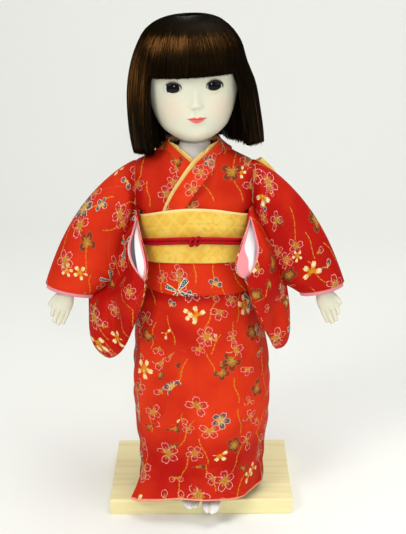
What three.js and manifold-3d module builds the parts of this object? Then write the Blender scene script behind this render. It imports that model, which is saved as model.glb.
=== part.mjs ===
// Ichimatsu doll in a furisode kimono, standing on a wooden display board.
// Millimetres, +Z up, the doll faces -Y and the viewer's right is +X.
// The origin lies on the board's underside, on the doll's own axis.
import * as THREE from "three";
import { mergeVertices } from "three/addons/utils/BufferGeometryUtils.js";
import Module from "manifold-3d";

const wasm = await Module();
wasm.setup();

// Driving dimensions. Heights of the doll are measured from the top of the board.
const gap = 0.3; // play between neighbouring pieces

const board = { width: 148, depth: 120, thickness: 13, bevel: 0.6, centreY: 21 };
const post = { diameter: 5, x: -1, y: 12, seatDepth: 9, engagement: 30, bevel: 0.8 };

// Thickness of each layer of clothing
const cloth = { underRobe: 1.0, skirt: 1.4, bodice: 1.4, card: 0.8, obi: 2.0, sleeve: 1.2, lining: 0.8 };

// Stations of the dressed core, on which the clothing lies: height, half width, half depth, centre
const hemStation = { z: 8, halfWidth: 49, halfDepth: 49, x: 0, y: -8 };
const shinStation = { z: 24, halfWidth: 48, halfDepth: 44, x: 0, y: -6 };
const kneeStation = { z: 71, halfWidth: 52, halfDepth: 43, x: 0, y: -4 };
const thighStation = { z: 106, halfWidth: 52, halfDepth: 41, x: -0.3, y: -2 };
const seatStation = { z: 140, halfWidth: 48, halfDepth: 38.5, x: -1, y: -0.5 };
const hipStation = { z: 172, halfWidth: 43, halfDepth: 36, x: -2, y: 0 };
const waistStation = { z: 198, halfWidth: 38.5, halfDepth: 32, x: -2.8, y: 0 };
const chestStation = { z: 243, halfWidth: 38.5, halfDepth: 31, x: -4, y: 0 };
const bustStation = { z: 256, halfWidth: 36, halfDepth: 28, x: -4, y: 0 };
const trunkStations = [
  hemStation, shinStation, kneeStation, thighStation, seatStation,
  hipStation, waistStation, chestStation, bustStation,
];

// Hem of the outer kimono: the corner of the overlapping front panel kicks outwards
const hemKick = { reach: 15, height: 30, direction: 218, spread: 26 };
const skirtTop = 186;
const underRobeHem = 14;
const underRobeTop = 229;

// Fold of the kimono below the sash, and the yoke that carries the sleeves
const fold = { bottom: 174, step: 2 };
const yoke = { bottom: 226, neckHalf: 18, neckTop: 287, armX: 46, armTop: 272, neckDepth: 27, armDepth: 19 };
const upperX = chestStation.x; // the doll leans a little, so its upper half stands beside the axis
const neckHole = { halfWidth: 16.5, halfDepth: 18.5, y: -5, depth: 40 };

const obi = { bottom: 194.5, top: 230.5, bottomArch: 4, topArch: 11 };
const card = { inset: 4, halfAngle: 62 };
const cord = { height: 6, thickness: 3, z: 209.5, arch: 7.5 };
const cordKnot = { width: 11, height: 7.4, depth: 4.2 };

// Bow on the back, laid aslant from one hip to the other shoulder
const bow = { z: 208, tilt: 32, length: 73, width: 40, waist: 17, thickness: 15, lift: 1.5, rise: 3 };
const bowKnot = { length: 15, width: 25, thickness: 20 };
const bowHook = { wire: 0.7, foot: 16, bend: 6, rise: 2.6, round: 2, tail: 18 };

// Hard body under the clothes
const torsoStations = [
  { z: 150, halfWidth: 21, halfDepth: 18 },
  { z: 165, halfWidth: 29, halfDepth: 24 },
  { z: 205, halfWidth: 25, halfDepth: 20 },
  { z: 238, halfWidth: 29, halfDepth: 22 },
  { z: 256, halfWidth: 28, halfDepth: 18 },
  { z: 270, halfWidth: 18, halfDepth: 14 },
];
const crotch = torsoStations[0].z;
const collarbone = torsoStations[torsoStations.length - 1].z;
const waistPad = { bottom: 158, top: 228 };

// The doll stands with its right foot a step back and its toes turned in
const leg = {
  spacing: 21, frontY: -10, step: 8.5, topY: -4, thigh: 8.8, calf: 8.4, knee: 7.6, ankle: 6.2,
  spigot: 6.2, hipSeat: 12, bottomZ: 10, calfZ: 52, kneeZ: 80, thighZ: 114,
};
const foot = {
  heel: 9, toe: 56, halfWidth: 7.2, heelHalf: 4.4, ankleHalf: 6.3, height: 15, toeHeight: 4, heelHeight: 11,
  cloth: 0.8, toeIn: 3,
};
const sockAnkle = { top: 26, room: 1.2, wall: 1, overlap: 4 };
const toeSlit = { offset: 1.4, width: 0.7, depth: 7 };

// Arms hang away from the body; each turns on a pin that lies across the shoulder
const shoulder = {
  z: 250.5, bossRadius: 11, bossPlay: 2.6, pinDiameter: 3, pinHead: 6.4, pinGrip: 12, pinReach: 16,
  headThickness: 1.6, clear: 40,
};
const wrist = { x: 100, y: -8, z: 172 };
const arm = {
  shoulderRadius: 9, elbowRadius: 8, wristRadius: 6.6, drop: 2, elbowOut: 2, elbowBack: 3, elbowUp: 3,
};
const cuff = { x: 101.5, y: -6, z: 170.5, halfWidth: 18, halfDepth: 13.5, tilt: 13 };
const sleeveHead = { halfHeight: 19.5, halfDepth: 18, z: 252.5, bulge: 9 };
const hand = {
  lean: 21, forward: 6, heel: 5, palm: 17, palmHalf: 8, palmThick: 4.6, wristRadius: 5.2, finger: 14,
  fingerRadius: 2.15, thumbZ: -8, thumbOut: 1.6, thumbForward: 1.5, thumbLength: 13,
};
const handPeg = { diameter: 4, length: 24, embed: 7 };

// The bag of a sleeve, from its top to its bottom: height, the outer and the inner edge, thickness
const bagStations = [
  { z: 236, outer: [58, -4], inner: [49, -12], thick: 11 },
  { z: 214, outer: [72, -7], inner: [41, -35], thick: 15 },
  { z: 192, outer: [81, -9], inner: [38, -43], thick: 18 },
  { z: 172, outer: [84, -12], inner: [40, -44], thick: 19 },
  { z: 152, outer: [84, -14], inner: [48, -41], thick: 18 },
  { z: 134, outer: [82.5, -17], inner: [59, -35], thick: 15 },
  { z: 120, outer: [77, -21], inner: [67, -29], thick: 8 },
];
// How far each bag is drawn in and forward, and how much shorter it hangs
const bagDraw = { right: { inset: 0, lift: 0 }, left: { inset: 8, lift: 7 } };
const furi = { top: 231, bottom: 190, radius: 8.5 }; // slit of the bag beside the body
// The side of the yoke that a sleeve keeps clear of
const sleeveSeam = { front: -18.5, bottom: 200, reach: 120 };

// Head, in its own frame: origin at the neck's seat, tilted and turned a little
const neck = {
  x: -3, y: 0, z: 282, tilt: -2.6, turn: 5, radius: 11, socketDepth: 11, socketMouth: 9,
  dowel: 8, dowelDepth: 14, swing: 35,
};
const headStations = [
  { z: 8.5, halfWidth: 11.5, front: 20, back: 11.2 },
  { z: 13, halfWidth: 17, front: 31.5, back: 12.2 },
  { z: 20.5, halfWidth: 25.6, front: 35.6, back: 16.5 },
  { z: 34, halfWidth: 32, front: 37.4, back: 30 },
  { z: 47, halfWidth: 35, front: 37.4, back: 37 },
  { z: 62, halfWidth: 35.5, front: 37.5, back: 39 },
  { z: 78, halfWidth: 30, front: 32, back: 35 },
  { z: 88, halfWidth: 20.5, front: 22, back: 25 },
];
const headTop = 95;
const nose = { z: 38.6, height: 3, halfWidth: 4.2, length: 9 };
const eye = { radius: 6.4, x: 15.5, middle: -0.8, y: -29.6, z: 52.8 };

const hairStations = [
  { z: 1.5, halfWidth: 48, front: 30, back: 41 },
  { z: 20, halfWidth: 49.5, front: 36, back: 45 },
  { z: 43, halfWidth: 48.5, front: 42.5, back: 46.5 },
  { z: 60, halfWidth: 46, front: 44, back: 46 },
  { z: 75, halfWidth: 40.5, front: 41, back: 42 },
  { z: 88, halfWidth: 31.5, front: 32.5, back: 34 },
  { z: 97, halfWidth: 20.5, front: 21, back: 23 },
];
const hairTop = 103.4;
const hairLayer = { thickness: 9, hollowTop: 44 };
const fringe = { bottom: 60.5, halfWidth: 31, depth: 20 };
const faceWindow = { halfWidth: 31.5, depth: 12, reach: 60 };

const collar = { thickness: 1.4, width: 14, reveal: 3.8, underThickness: 1.2, underWidth: 12, clear: 2 };

// The collar's inner edge runs from the sash, round the nape and back to the sash, crossing itself
const collarEdge = [
  { x: 24, y: -30, z: 232 }, { x: 12, y: -31, z: 255 }, { x: 0, y: -29.5, z: 274 },
  { x: -11, y: -22, z: 284 }, { x: -17, y: -8, z: 288 }, { x: -14, y: 9, z: 289 },
  { x: 0, y: 17.5, z: 289.5 },
  { x: 14, y: 9, z: 289 }, { x: 17, y: -8, z: 288 }, { x: 11, y: -23.5, z: 284 },
  { x: 0, y: -33.2, z: 274 }, { x: -12, y: -35.5, z: 257 }, { x: -24, y: -34.5, z: 234 },
];
// Between these depths the band turns from lying on the chest to falling outwards round the nape
const collarTurn = { chestY: -24, napeY: 4, out: 0.75, down: 0.65 };

// Facets round each kind of form
const facets = { trunk: 28, sleeve: 12, limb: 10, head: 24, hair: 28, rod: 12, finger: 6 };

const degrees = (angle) => THREE.MathUtils.degToRad(angle);
const lerp = THREE.MathUtils.lerp;
const vec = (x, y, z) => new THREE.Vector3(x, y, z);

// Solids

// A closed geometry as a solid; facets that have shrunk to a line are dropped.
function solidOf(geometry) {
  const loose = geometry.index ? geometry.toNonIndexed() : geometry;
  const bare = new THREE.BufferGeometry().setAttribute("position", loose.getAttribute("position"));
  const merged = mergeVertices(bare, 1e-4);
  const corners = merged.index.array;
  const kept = [];
  for (let i = 0; i < corners.length; i += 3) {
    const [a, b, c] = corners.slice(i, i + 3);
    if (a !== b && b !== c && c !== a) kept.push(a, b, c);
  }
  const vertProperties = merged.attributes.position.array;
  return new wasm.Manifold(new wasm.Mesh({ numProp: 3, vertProperties, triVerts: new Uint32Array(kept) }));
}

function geometryOf(solid) {
  const mesh = solid.getMesh();
  const geometry = new THREE.BufferGeometry();
  geometry.setAttribute("position", new THREE.BufferAttribute(mesh.vertProperties, 3));
  geometry.setIndex(new THREE.BufferAttribute(mesh.triVerts, 1));
  return geometry;
}

const cut = (body, ...tools) => tools.reduce((left, tool) => left.subtract(tool), body);
const join = (...bodies) => bodies.reduce((whole, body) => whole.add(body));

function meshOf(name, geometry, colour, roughness, metalness = 0) {
  const material = new THREE.MeshStandardMaterial({ color: colour, roughness, metalness });
  const mesh = new THREE.Mesh(geometry, material);
  mesh.name = name;
  return mesh;
}

// A solid lofted through rings of points, with a fan over each end.
function loft(rings) {
  const points = [];
  const put = (...corners) => corners.forEach((p) => points.push(p.x, p.y, p.z));
  const middle = (ring) => ring.reduce((sum, p) => sum.add(p), vec(0, 0, 0)).divideScalar(ring.length);
  const count = rings[0].length;
  rings.slice(1).forEach((upper, i) => {
    const lower = rings[i];
    for (let j = 0; j < count; j++) {
      const k = (j + 1) % count;
      put(lower[j], lower[k], upper[k], lower[j], upper[k], upper[j]);
    }
  });
  const first = rings[0];
  const last = rings[rings.length - 1];
  for (let j = 0; j < count; j++) {
    const k = (j + 1) % count;
    put(middle(first), first[k], first[j], middle(last), last[j], last[k]);
  }
  const geometry = new THREE.BufferGeometry();
  geometry.setAttribute("position", new THREE.BufferAttribute(new Float32Array(points), 3));
  const solid = solidOf(geometry);
  if (solid.volume() > 0) return solid;
  const turned = [];
  for (let i = 0; i < points.length; i += 9) {
    turned.push(...points.slice(i, i + 3), ...points.slice(i + 6, i + 9), ...points.slice(i + 3, i + 6));
  }
  geometry.setAttribute("position", new THREE.BufferAttribute(new Float32Array(turned), 3));
  return solidOf(geometry);
}

// A wall between an outer and an inner set of rings, open at both ends
function shell(outer, inner) {
  const points = [];
  const put = (...corners) => corners.forEach((p) => points.push(p.x, p.y, p.z));
  const count = outer[0].length;
  const quad = (a, b, c, d) => put(a, b, c, a, c, d);
  for (let j = 0; j < count; j++) {
    const k = (j + 1) % count;
    for (let i = 0; i < outer.length - 1; i++) {
      quad(outer[i][j], outer[i][k], outer[i + 1][k], outer[i + 1][j]);
      quad(inner[i][k], inner[i][j], inner[i + 1][j], inner[i + 1][k]);
    }
    const [outTop, inTop] = [outer[outer.length - 1], inner[inner.length - 1]];
    quad(outer[0][k], outer[0][j], inner[0][j], inner[0][k]);
    quad(outTop[j], outTop[k], inTop[k], inTop[j]);
  }
  const geometry = new THREE.BufferGeometry();
  geometry.setAttribute("position", new THREE.BufferAttribute(new Float32Array(points), 3));
  return solidOf(geometry);
}

// A closed loop of rings, such as a band round a waist
function ringLoop(rings) {
  const points = [];
  const count = rings[0].length;
  rings.forEach((ring, i) => {
    const next = rings[(i + 1) % rings.length];
    for (let j = 0; j < count; j++) {
      const k = (j + 1) % count;
      const corners = [ring[j], next[k], ring[k], ring[j], next[j], next[k]];
      corners.forEach((p) => points.push(p.x, p.y, p.z));
    }
  });
  const geometry = new THREE.BufferGeometry();
  geometry.setAttribute("position", new THREE.BufferAttribute(new Float32Array(points), 3));
  return solidOf(geometry);
}

// The largest body that a cut has left
const main = (solid) => solid.decompose().sort((a, b) => b.volume() - a.volume())[0];

// A ring of points from a function of the angle
function ringOf(count, pointAt) {
  return Array.from({ length: count }, (_, i) => pointAt((2 * Math.PI * i) / count));
}

const steps = (from, to, count) => Array.from({ length: count + 1 }, (_, i) => lerp(from, to, i / count));

// A smooth value through stations that are sorted by height
function along(stations, z, key) {
  const read = (i) => stations[THREE.MathUtils.clamp(i, 0, stations.length - 1)];
  let i = 0;
  while (i < stations.length - 2 && z > stations[i + 1].z) i++;
  const slope = (j) => {
    const before = read(j - 1);
    const after = read(j + 1);
    return (after[key] - before[key]) / (after.z - before.z);
  };
  const span = stations[i + 1].z - stations[i].z;
  const t = THREE.MathUtils.clamp((z - stations[i].z) / span, 0, 1);
  const t2 = t * t;
  const t3 = t2 * t;
  return (
    (2 * t3 - 3 * t2 + 1) * stations[i][key] + (t3 - 2 * t2 + t) * span * slope(i) +
    (3 * t2 - 2 * t3) * stations[i + 1][key] + (t3 - t2) * span * slope(i + 1)
  );
}

// A round rod between two points
function rod(from, to, radius, count = facets.rod, endRadius = radius) {
  const length = from.distanceTo(to);
  const geometry = new THREE.CylinderGeometry(endRadius, radius, length, count);
  geometry.translate(0, length / 2, 0);
  const turn = new THREE.Quaternion().setFromUnitVectors(vec(0, 1, 0), to.clone().sub(from).normalize());
  geometry.applyQuaternion(turn).translate(from.x, from.y, from.z);
  return solidOf(geometry);
}

function ball(radius, centre, across = 12, down = 8) {
  const geometry = new THREE.SphereGeometry(radius, across, down);
  geometry.rotateX(Math.PI / 2).translate(centre.x, centre.y, centre.z);
  return solidOf(geometry);
}

function box(low, high) {
  const size = high.clone().sub(low);
  const geometry = new THREE.BoxGeometry(size.x, size.y, size.z);
  geometry.translate(low.x + size.x / 2, low.y + size.y / 2, low.z + size.z / 2);
  return solidOf(geometry);
}

// Trunk layers

// All layers bend at the same heights, so that their facets stay parallel
const trunkHeights = trunkStations.flatMap((s, i) => {
  const next = trunkStations[i + 1];
  return next && next.z - s.z > 40 ? [s.z, (s.z + next.z) / 2] : [s.z];
});

// A value of the core between two of those heights
function coreValue(z, key) {
  let i = 0;
  while (i < trunkHeights.length - 2 && z > trunkHeights[i + 1]) i++;
  const [low, high] = [trunkHeights[i], trunkHeights[i + 1]];
  return lerp(along(trunkStations, low, key), along(trunkStations, high, key), (z - low) / (high - low));
}

// A point on the dressed core, moved out by extra
function trunkPoint(angle, z, extra) {
  const x = coreValue(z, "x") + (coreValue(z, "halfWidth") + extra) * Math.cos(angle);
  const y = coreValue(z, "y") + (coreValue(z, "halfDepth") + extra) * Math.sin(angle);
  return vec(x, y, z);
}

// Rings through levels of height and offset, with a ring at every common height between them
function trunkRings(levels) {
  const all = levels.flatMap((level, i) => {
    const next = levels[i + 1];
    if (!next) return [level];
    const between = trunkHeights.filter((z) => z > level.z + 1 && z < next.z - 1).map((z) => ({
      z, extra: lerp(level.extra, next.extra, (z - level.z) / (next.z - level.z)),
    }));
    return [level, ...between];
  });
  return all.map(({ z, extra }) => ringOf(facets.trunk, (angle) => trunkPoint(angle, z, extra)));
}

const between = (bottom, top, extra) => trunkRings([{ z: bottom, extra }, { z: top, extra }]);

// Rings of a band round the trunk whose edges rise towards the front and the back
function bandRings(edges, extra, count = 3) {
  return steps(0, 1, count).map((share) =>
    ringOf(facets.trunk, (angle) => {
      const rise = Math.sin(angle) ** 2;
      const low = edges.bottom + edges.bottomArch * rise;
      const high = edges.top + edges.topArch * rise;
      return trunkPoint(angle, lerp(low, high, share), extra);
    }),
  );
}

// Offsets from the core to the outside of each layer
const layer = {};
layer.underRobe = gap + cloth.underRobe;
layer.skirt = layer.underRobe + gap + cloth.skirt;
layer.bodice = layer.underRobe + gap + cloth.bodice;
layer.foldInside = layer.skirt + gap;
layer.fold = layer.foldInside + cloth.bodice;
layer.card = layer.bodice + gap + cloth.card;
layer.obi = layer.card + gap + cloth.obi;

function underRobe() {
  const outside = between(underRobeHem, underRobeTop, layer.underRobe);
  return geometryOf(shell(outside, between(underRobeHem, underRobeTop, gap)));
}

// The skirt's outline with the kicked corner near the hem
function skirtRings(extra) {
  const kickAngle = degrees(hemKick.direction);
  const kickSteps = [0, 0.3, 0.62].map((share) => hemStation.z + share * hemKick.height);
  const higher = trunkHeights.filter((z) => z > hemStation.z + hemKick.height && z < skirtTop - 1);
  return [...kickSteps, ...higher, skirtTop].map((z) => {
    const low = THREE.MathUtils.clamp(1 - (z - hemStation.z) / hemKick.height, 0, 1);
    return ringOf(facets.trunk, (angle) => {
      const turn = ((angle - kickAngle + 3 * Math.PI) % (2 * Math.PI)) - Math.PI;
      const away = turn / degrees(hemKick.spread);
      return trunkPoint(angle, z, extra + hemKick.reach * low * low * Math.exp(-away * away));
    });
  });
}

function kimonoSkirt() {
  return geometryOf(shell(skirtRings(layer.skirt), skirtRings(layer.skirt - cloth.skirt)));
}

// Yoke: sections across the shoulders, from one sleeve seam to the other
function yokeSolid(inset, overrun) {
  const reach = yoke.armX + overrun;
  const slope = (yoke.neckTop - yoke.armTop) / (yoke.armX - yoke.neckHalf);
  const rings = steps(-reach, reach, 10).map((x) => {
    const out = Math.max(0, Math.abs(x) - yoke.neckHalf);
    const share = out / (yoke.armX - yoke.neckHalf);
    const top = yoke.neckTop - slope * out - inset;
    const bottom = yoke.bottom + share * (sleeveHead.z - sleeveHead.halfHeight - yoke.bottom) + inset;
    const depth = lerp(yoke.neckDepth, yoke.armDepth, share) - inset;
    return ringOf(facets.sleeve, (angle) => {
      const lift = Math.sin(angle);
      const swell = Math.sign(Math.cos(angle)) * Math.abs(Math.cos(angle)) ** 0.8;
      return vec(upperX + x, depth * swell, (top + bottom) / 2 + ((top - bottom) / 2) * lift);
    });
  });
  return loft(rings);
}

function neckHoleSolid() {
  const rings = [yoke.neckTop - neckHole.depth, yoke.neckTop + 5].map((z) =>
    ringOf(facets.sleeve, (angle) => {
      const x = upperX + neckHole.halfWidth * Math.cos(angle);
      return vec(x, neckHole.y + neckHole.halfDepth * Math.sin(angle), z);
    }),
  );
  return loft(rings);
}

// The folded part below the sash is wider, because it hangs over the top of the skirt
function bodiceOutline(grow) {
  const top = { z: bustStation.z, extra: layer.bodice + grow };
  const trunkPart = loft(trunkRings([
    { z: fold.bottom - grow, extra: layer.fold + grow },
    { z: skirtTop + fold.step, extra: layer.fold + grow },
    { z: skirtTop + 2 * fold.step, extra: layer.bodice + grow },
    top,
  ]));
  return join(trunkPart, yokeSolid(-grow, 0));
}

function bodiceHollow() {
  const inside = layer.bodice - cloth.bodice;
  const trunkPart = loft(trunkRings([
    { z: fold.bottom - 1, extra: layer.foldInside },
    { z: skirtTop + fold.step / 2, extra: layer.foldInside },
    { z: skirtTop + 1.5 * fold.step, extra: inside },
    { z: bustStation.z - cloth.bodice, extra: inside },
  ]));
  return join(trunkPart, yokeSolid(cloth.bodice, 1), neckHoleSolid());
}

function kimonoBodice() {
  return geometryOf(main(cut(bodiceOutline(0), bodiceHollow())));
}

// Collars

// A band along the collar's inner edge: side is the way across it, level the way out of the cloth
function collarBand(sides, levels) {
  const curve = new THREE.CatmullRomCurve3(collarEdge.map(({ x, y, z }) => vec(x, y, z)));
  const rings = curve.getPoints(28).map((point, i, all) => {
    const tangent = curve.getTangent(i / (all.length - 1));
    const out = vec(point.x, point.y, 0).normalize();
    const nape = THREE.MathUtils.smoothstep(point.y, collarTurn.chestY, collarTurn.napeY);
    const across = tangent.clone().cross(out).normalize();
    if (across.z > 0) across.negate();
    const outward = vec(out.x * collarTurn.out, out.y * collarTurn.out, -collarTurn.down);
    const fall = across.lerp(outward, nape).normalize();
    const normal = fall.clone().cross(tangent).normalize();
    if (normal.dot(out) < 0) normal.negate();
    const corner = (side, level) =>
      point.clone().addScaledVector(fall, side).addScaledVector(normal, level).add(vec(upperX, 0, 0));
    return [
      corner(sides[0], levels[0]), corner(sides[1], levels[0]),
      corner(sides[1], levels[1]), corner(sides[0], levels[1]),
    ];
  });
  return loft(rings);
}

// The part of a collar that the sash would hide is left out
function sashRegion() {
  const edges = { ...obi, bottom: fold.bottom, top: obi.top + collar.clear };
  return loft(bandRings(edges, layer.obi + collar.width));
}

function kimonoCollar() {
  const band = collarBand([0, collar.width], [gap, gap + collar.thickness]);
  return geometryOf(main(cut(band, bodiceOutline(gap), sashRegion())));
}

// The under-collar stands clear of the chin while the head turns to either side
function chinPath() {
  const frame = headFrame();
  frame.updateMatrix();
  return [-1, -0.5, 0, 0.5, 1].map((share) =>
    skullSolid(gap).rotate([0, 0, share * neck.swing]).transform(frame.matrix.elements));
}

function underCollar() {
  const sides = [-collar.reveal, collar.underWidth - collar.reveal];
  const band = collarBand(sides, [-gap / 4 - collar.underThickness, -gap / 4]);
  const over = collarBand([-gap, collar.width + gap], [0, collar.thickness + 2 * gap]);
  return geometryOf(main(cut(band, bodiceOutline(gap), sashRegion(), over, ...chinPath())));
}

// Sash

function obiSash() {
  return geometryOf(shell(bandRings(obi, layer.obi), bandRings(obi, layer.obi - cloth.obi)));
}

// A stiff card behind the front of the sash
function obiCard() {
  const edges = { ...obi, bottom: obi.bottom + card.inset, top: obi.top - card.inset };
  const whole = shell(bandRings(edges, layer.card), bandRings(edges, layer.card - cloth.card));
  const reach = (layer.obi + chestStation.halfWidth) * 2;
  const half = degrees(card.halfAngle);
  const wedge = new THREE.Shape([
    new THREE.Vector2(0, 0), new THREE.Vector2(-reach * Math.sin(half), -reach * Math.cos(half)),
    new THREE.Vector2(reach * Math.sin(half), -reach * Math.cos(half)),
  ]);
  const front = new THREE.ExtrudeGeometry(wedge, { depth: obi.top, bevelEnabled: false });
  front.translate(upperX, 0, obi.bottom);
  return geometryOf(cut(whole.intersect(solidOf(front)), bodiceOutline(gap / 2)));
}

// The sash cord lies round the sash as two strands side by side, here with one waisted section
function cordSolid() {
  const half = { high: cord.height / 2, deep: cord.thickness / 2 };
  const rings = ringOf(facets.trunk, (angle) => {
    const base = trunkPoint(angle, cord.z + cord.arch * Math.sin(angle) ** 2, layer.obi + gap + half.deep);
    const out = vec(Math.cos(angle), Math.sin(angle), 0);
    return ringOf(8, (turn) => {
      const waist = 1 - 0.25 * Math.cos(turn) ** 4;
      const lift = vec(0, 0, half.high * Math.sin(turn));
      return base.clone().addScaledVector(out, half.deep * Math.cos(turn) * waist).add(lift);
    });
  });
  return ringLoop(rings);
}

function knotSolid(extra) {
  const front = trunkPoint(-Math.PI / 2, cord.z + cord.arch, layer.obi + gap);
  const half = cordKnot.depth / 2;
  const centre = vec(front.x, front.y - half, front.z);
  const rings = steps(-1, 1, 6).map((share) => {
    const swell = Math.sqrt(Math.max(0.2, 1 - share ** 4));
    return ringOf(12, (angle) =>
      centre.clone().add(vec(
        (cordKnot.width / 2 + extra) * share,
        (half + extra) * swell * Math.cos(angle),
        (cordKnot.height / 2 + extra) * swell * Math.sin(angle),
      )),
    );
  });
  return loft(rings);
}

// Bow on the back: two padded loops, a band round their middle and a wire hook that hangs on the sash

function bowFrame() {
  const seat = trunkPoint(Math.PI / 2, bow.z, layer.obi + cord.thickness + 2 * gap);
  const frame = new THREE.Group();
  frame.position.set(seat.x, seat.y, seat.z);
  frame.rotation.y = -degrees(bow.tilt);
  return frame;
}

// One padded loop along +X: narrow at the knot, wide and full towards its rounded end
function bowLoop(side) {
  const shares = [0, 0.16, 0.34, 0.52, 0.7, 0.86, 0.96, 1];
  const rings = shares.map((share) => {
    const x = bowKnot.length / 2 + gap + share * bow.length;
    const open = THREE.MathUtils.smoothstep(share, 0, 0.75);
    const close = Math.sqrt(1 - 0.8 * THREE.MathUtils.smoothstep(share, 0.72, 1));
    const half = (lerp(bow.waist, bow.width, open) * close) / 2;
    const thick = (lerp(0.62, 1, open) * bow.thickness * close) / 2;
    const middle = bow.lift + bow.thickness / 2 + bow.rise * share;
    return ringOf(facets.sleeve, (angle) => {
      const c = Math.cos(angle);
      const s = Math.sin(angle);
      const level = thick * Math.sign(s) * Math.abs(s) ** 0.75;
      return vec(x, middle + level, half * Math.sign(c) * Math.abs(c) ** 0.55);
    });
  });
  const geometry = geometryOf(loft(rings));
  if (side < 0) geometry.rotateY(Math.PI);
  return geometry;
}

function bowBand() {
  const section = new THREE.Shape();
  const halfWidth = bowKnot.width / 2;
  const corner = bowKnot.thickness * 0.3;
  const depth = bowKnot.thickness;
  section.moveTo(-halfWidth + corner, 0);
  section.lineTo(halfWidth - corner, 0);
  section.quadraticCurveTo(halfWidth, 0, halfWidth, corner);
  section.lineTo(halfWidth, depth - corner);
  section.quadraticCurveTo(halfWidth, depth, halfWidth - corner, depth);
  section.lineTo(-halfWidth + corner, depth);
  section.quadraticCurveTo(-halfWidth, depth, -halfWidth, depth - corner);
  section.lineTo(-halfWidth, corner);
  section.quadraticCurveTo(-halfWidth, 0, -halfWidth + corner, 0);
  const run = { depth: bowKnot.length, bevelEnabled: false, curveSegments: 3 };
  const geometry = new THREE.ExtrudeGeometry(section, run);
  geometry.translate(0, 0, -bowKnot.length / 2).rotateY(Math.PI / 2);
  return geometry;
}

// A wire that stands on the bow's band, bends over the sash and holds inside it
function bowHookGeometry() {
  const back = (z, extra) => trunkPoint(Math.PI / 2, z, extra);
  const radius = bowHook.wire / 2;
  const crest = obi.top + obi.topArch + bowHook.rise;
  const outside = layer.obi + gap + radius;
  const inside = layer.obi - cloth.obi - gap / 2 - radius;
  const start = bow.z + bowHook.foot;
  const path = new THREE.CatmullRomCurve3([
    back(start, outside + cord.thickness),
    back(start + bowHook.bend, outside + gap),
    back(crest - bowHook.round, outside),
    back(crest, (outside + inside) / 2),
    back(crest - bowHook.round, inside),
    back(crest - bowHook.tail, inside),
  ]);
  const section = new THREE.Shape(
    ringOf(facets.finger, (angle) => new THREE.Vector2(radius * Math.cos(angle), radius * Math.sin(angle))),
  );
  return new THREE.ExtrudeGeometry(section, { steps: 18, extrudePath: path });
}

// Hard body

function torsoOutline(extra) {
  const rings = steps(crotch - extra, collarbone + extra, 10).map((z) =>
    ringOf(24, (angle) => {
      const halfWidth = along(torsoStations, z, "halfWidth") + extra;
      const halfDepth = along(torsoStations, z, "halfDepth") + extra;
      const x = along(trunkStations, z, "x");
      return vec(x + halfWidth * Math.cos(angle), halfDepth * Math.sin(angle), z);
    }),
  );
  return loft(rings);
}

const postTop = crotch + post.engagement;
const postRod = (from, to, radius) => rod(vec(post.x, post.y, from), vec(post.x, post.y, to), radius);

function shoulderPinLine(side) {
  const inner = vec(upperX + side * (yoke.armX - shoulder.pinGrip - shoulder.pinReach), 0, shoulder.z);
  const outer = vec(upperX + side * yoke.armX, 0, shoulder.z);
  return { inner, outer };
}

const pinBores = () => [-1, 1].map((side) => {
  const { inner, outer } = shoulderPinLine(side);
  return rod(inner.clone().add(vec(-side * gap, 0, 0)), outer, shoulder.pinDiameter / 2 + gap);
});

function torso() {
  const postBore = postRod(crotch - 1, postTop + 1, post.diameter / 2 + gap);
  const up = headAxis();
  const seat = vec(neck.x, neck.y, neck.z);
  const mouth = seat.clone().addScaledVector(up, neck.socketMouth);
  const dowelEnd = seat.clone().addScaledVector(up, -neck.socketDepth - neck.dowelDepth - 1);
  const seatEnd = seat.clone().addScaledVector(up, -neck.socketDepth - gap);
  const neckBore = rod(dowelEnd, mouth, neck.dowel / 2 + gap);
  const neckSeat = rod(seatEnd, mouth, neck.radius + gap, 24);
  const bossFaces = [-1, 1].map((side) => {
    const face = upperX + side * bossInner;
    const far = upperX + side * (yoke.armX + shoulder.bossRadius);
    const low = vec(Math.min(face, far), -shoulder.clear, shoulder.z - shoulder.clear);
    const high = vec(Math.max(face, far), shoulder.clear, shoulder.z + shoulder.clear);
    return box(low, high);
  });
  const hipTop = crotch + leg.hipSeat + gap;
  const legSeats = [-1, 1].map((side) => hipRod(side, crotch - 1, hipTop, leg.spigot + gap));
  const bores = [postBore, neckBore, neckSeat, ...pinBores(), ...bossFaces, ...legSeats];
  return geometryOf(cut(torsoOutline(0), ...bores));
}

function waistPadding() {
  const pad = loft(between(waistPad.bottom, waistPad.top, 0));
  return geometryOf(cut(pad, torsoOutline(gap), ...pinBores()));
}

// Legs plug into the torso; each foot wears a split-toed sock

const legX = (side) => (side * leg.spacing) / 2;
const ankleY = (side) => leg.frontY + (side < 0 ? leg.step : 0);
const hipRod = (side, from, to, radius) =>
  rod(vec(legX(side), leg.topY, from), vec(legX(side), leg.topY, to), radius);

function legSolid(side) {
  const spots = [
    { z: leg.bottomZ, radius: leg.ankle },
    { z: leg.calfZ, radius: leg.calf },
    { z: leg.kneeZ, radius: leg.knee },
    { z: leg.thighZ, radius: leg.thigh },
    { z: crotch - gap, radius: leg.thigh },
  ];
  const shank = loft(spots.map(({ z, radius }) => {
    const y = lerp(ankleY(side), leg.topY, (z - leg.bottomZ) / (crotch - leg.bottomZ));
    return ringOf(facets.limb, (angle) =>
      vec(legX(side) + radius * Math.cos(angle), y + radius * Math.sin(angle), z));
  }));
  const spigot = hipRod(side, crotch - 2, crotch + leg.hipSeat, leg.spigot);
  return join(shank, spigot, atAnkle(side, footSolid(0)));
}

// A foot or its sock is made at the origin, then turned in and set below the ankle
const atAnkle = (side, solid) =>
  solid.rotate([0, 0, -side * foot.toeIn]).translate([legX(side), ankleY(side), 0]);

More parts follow.
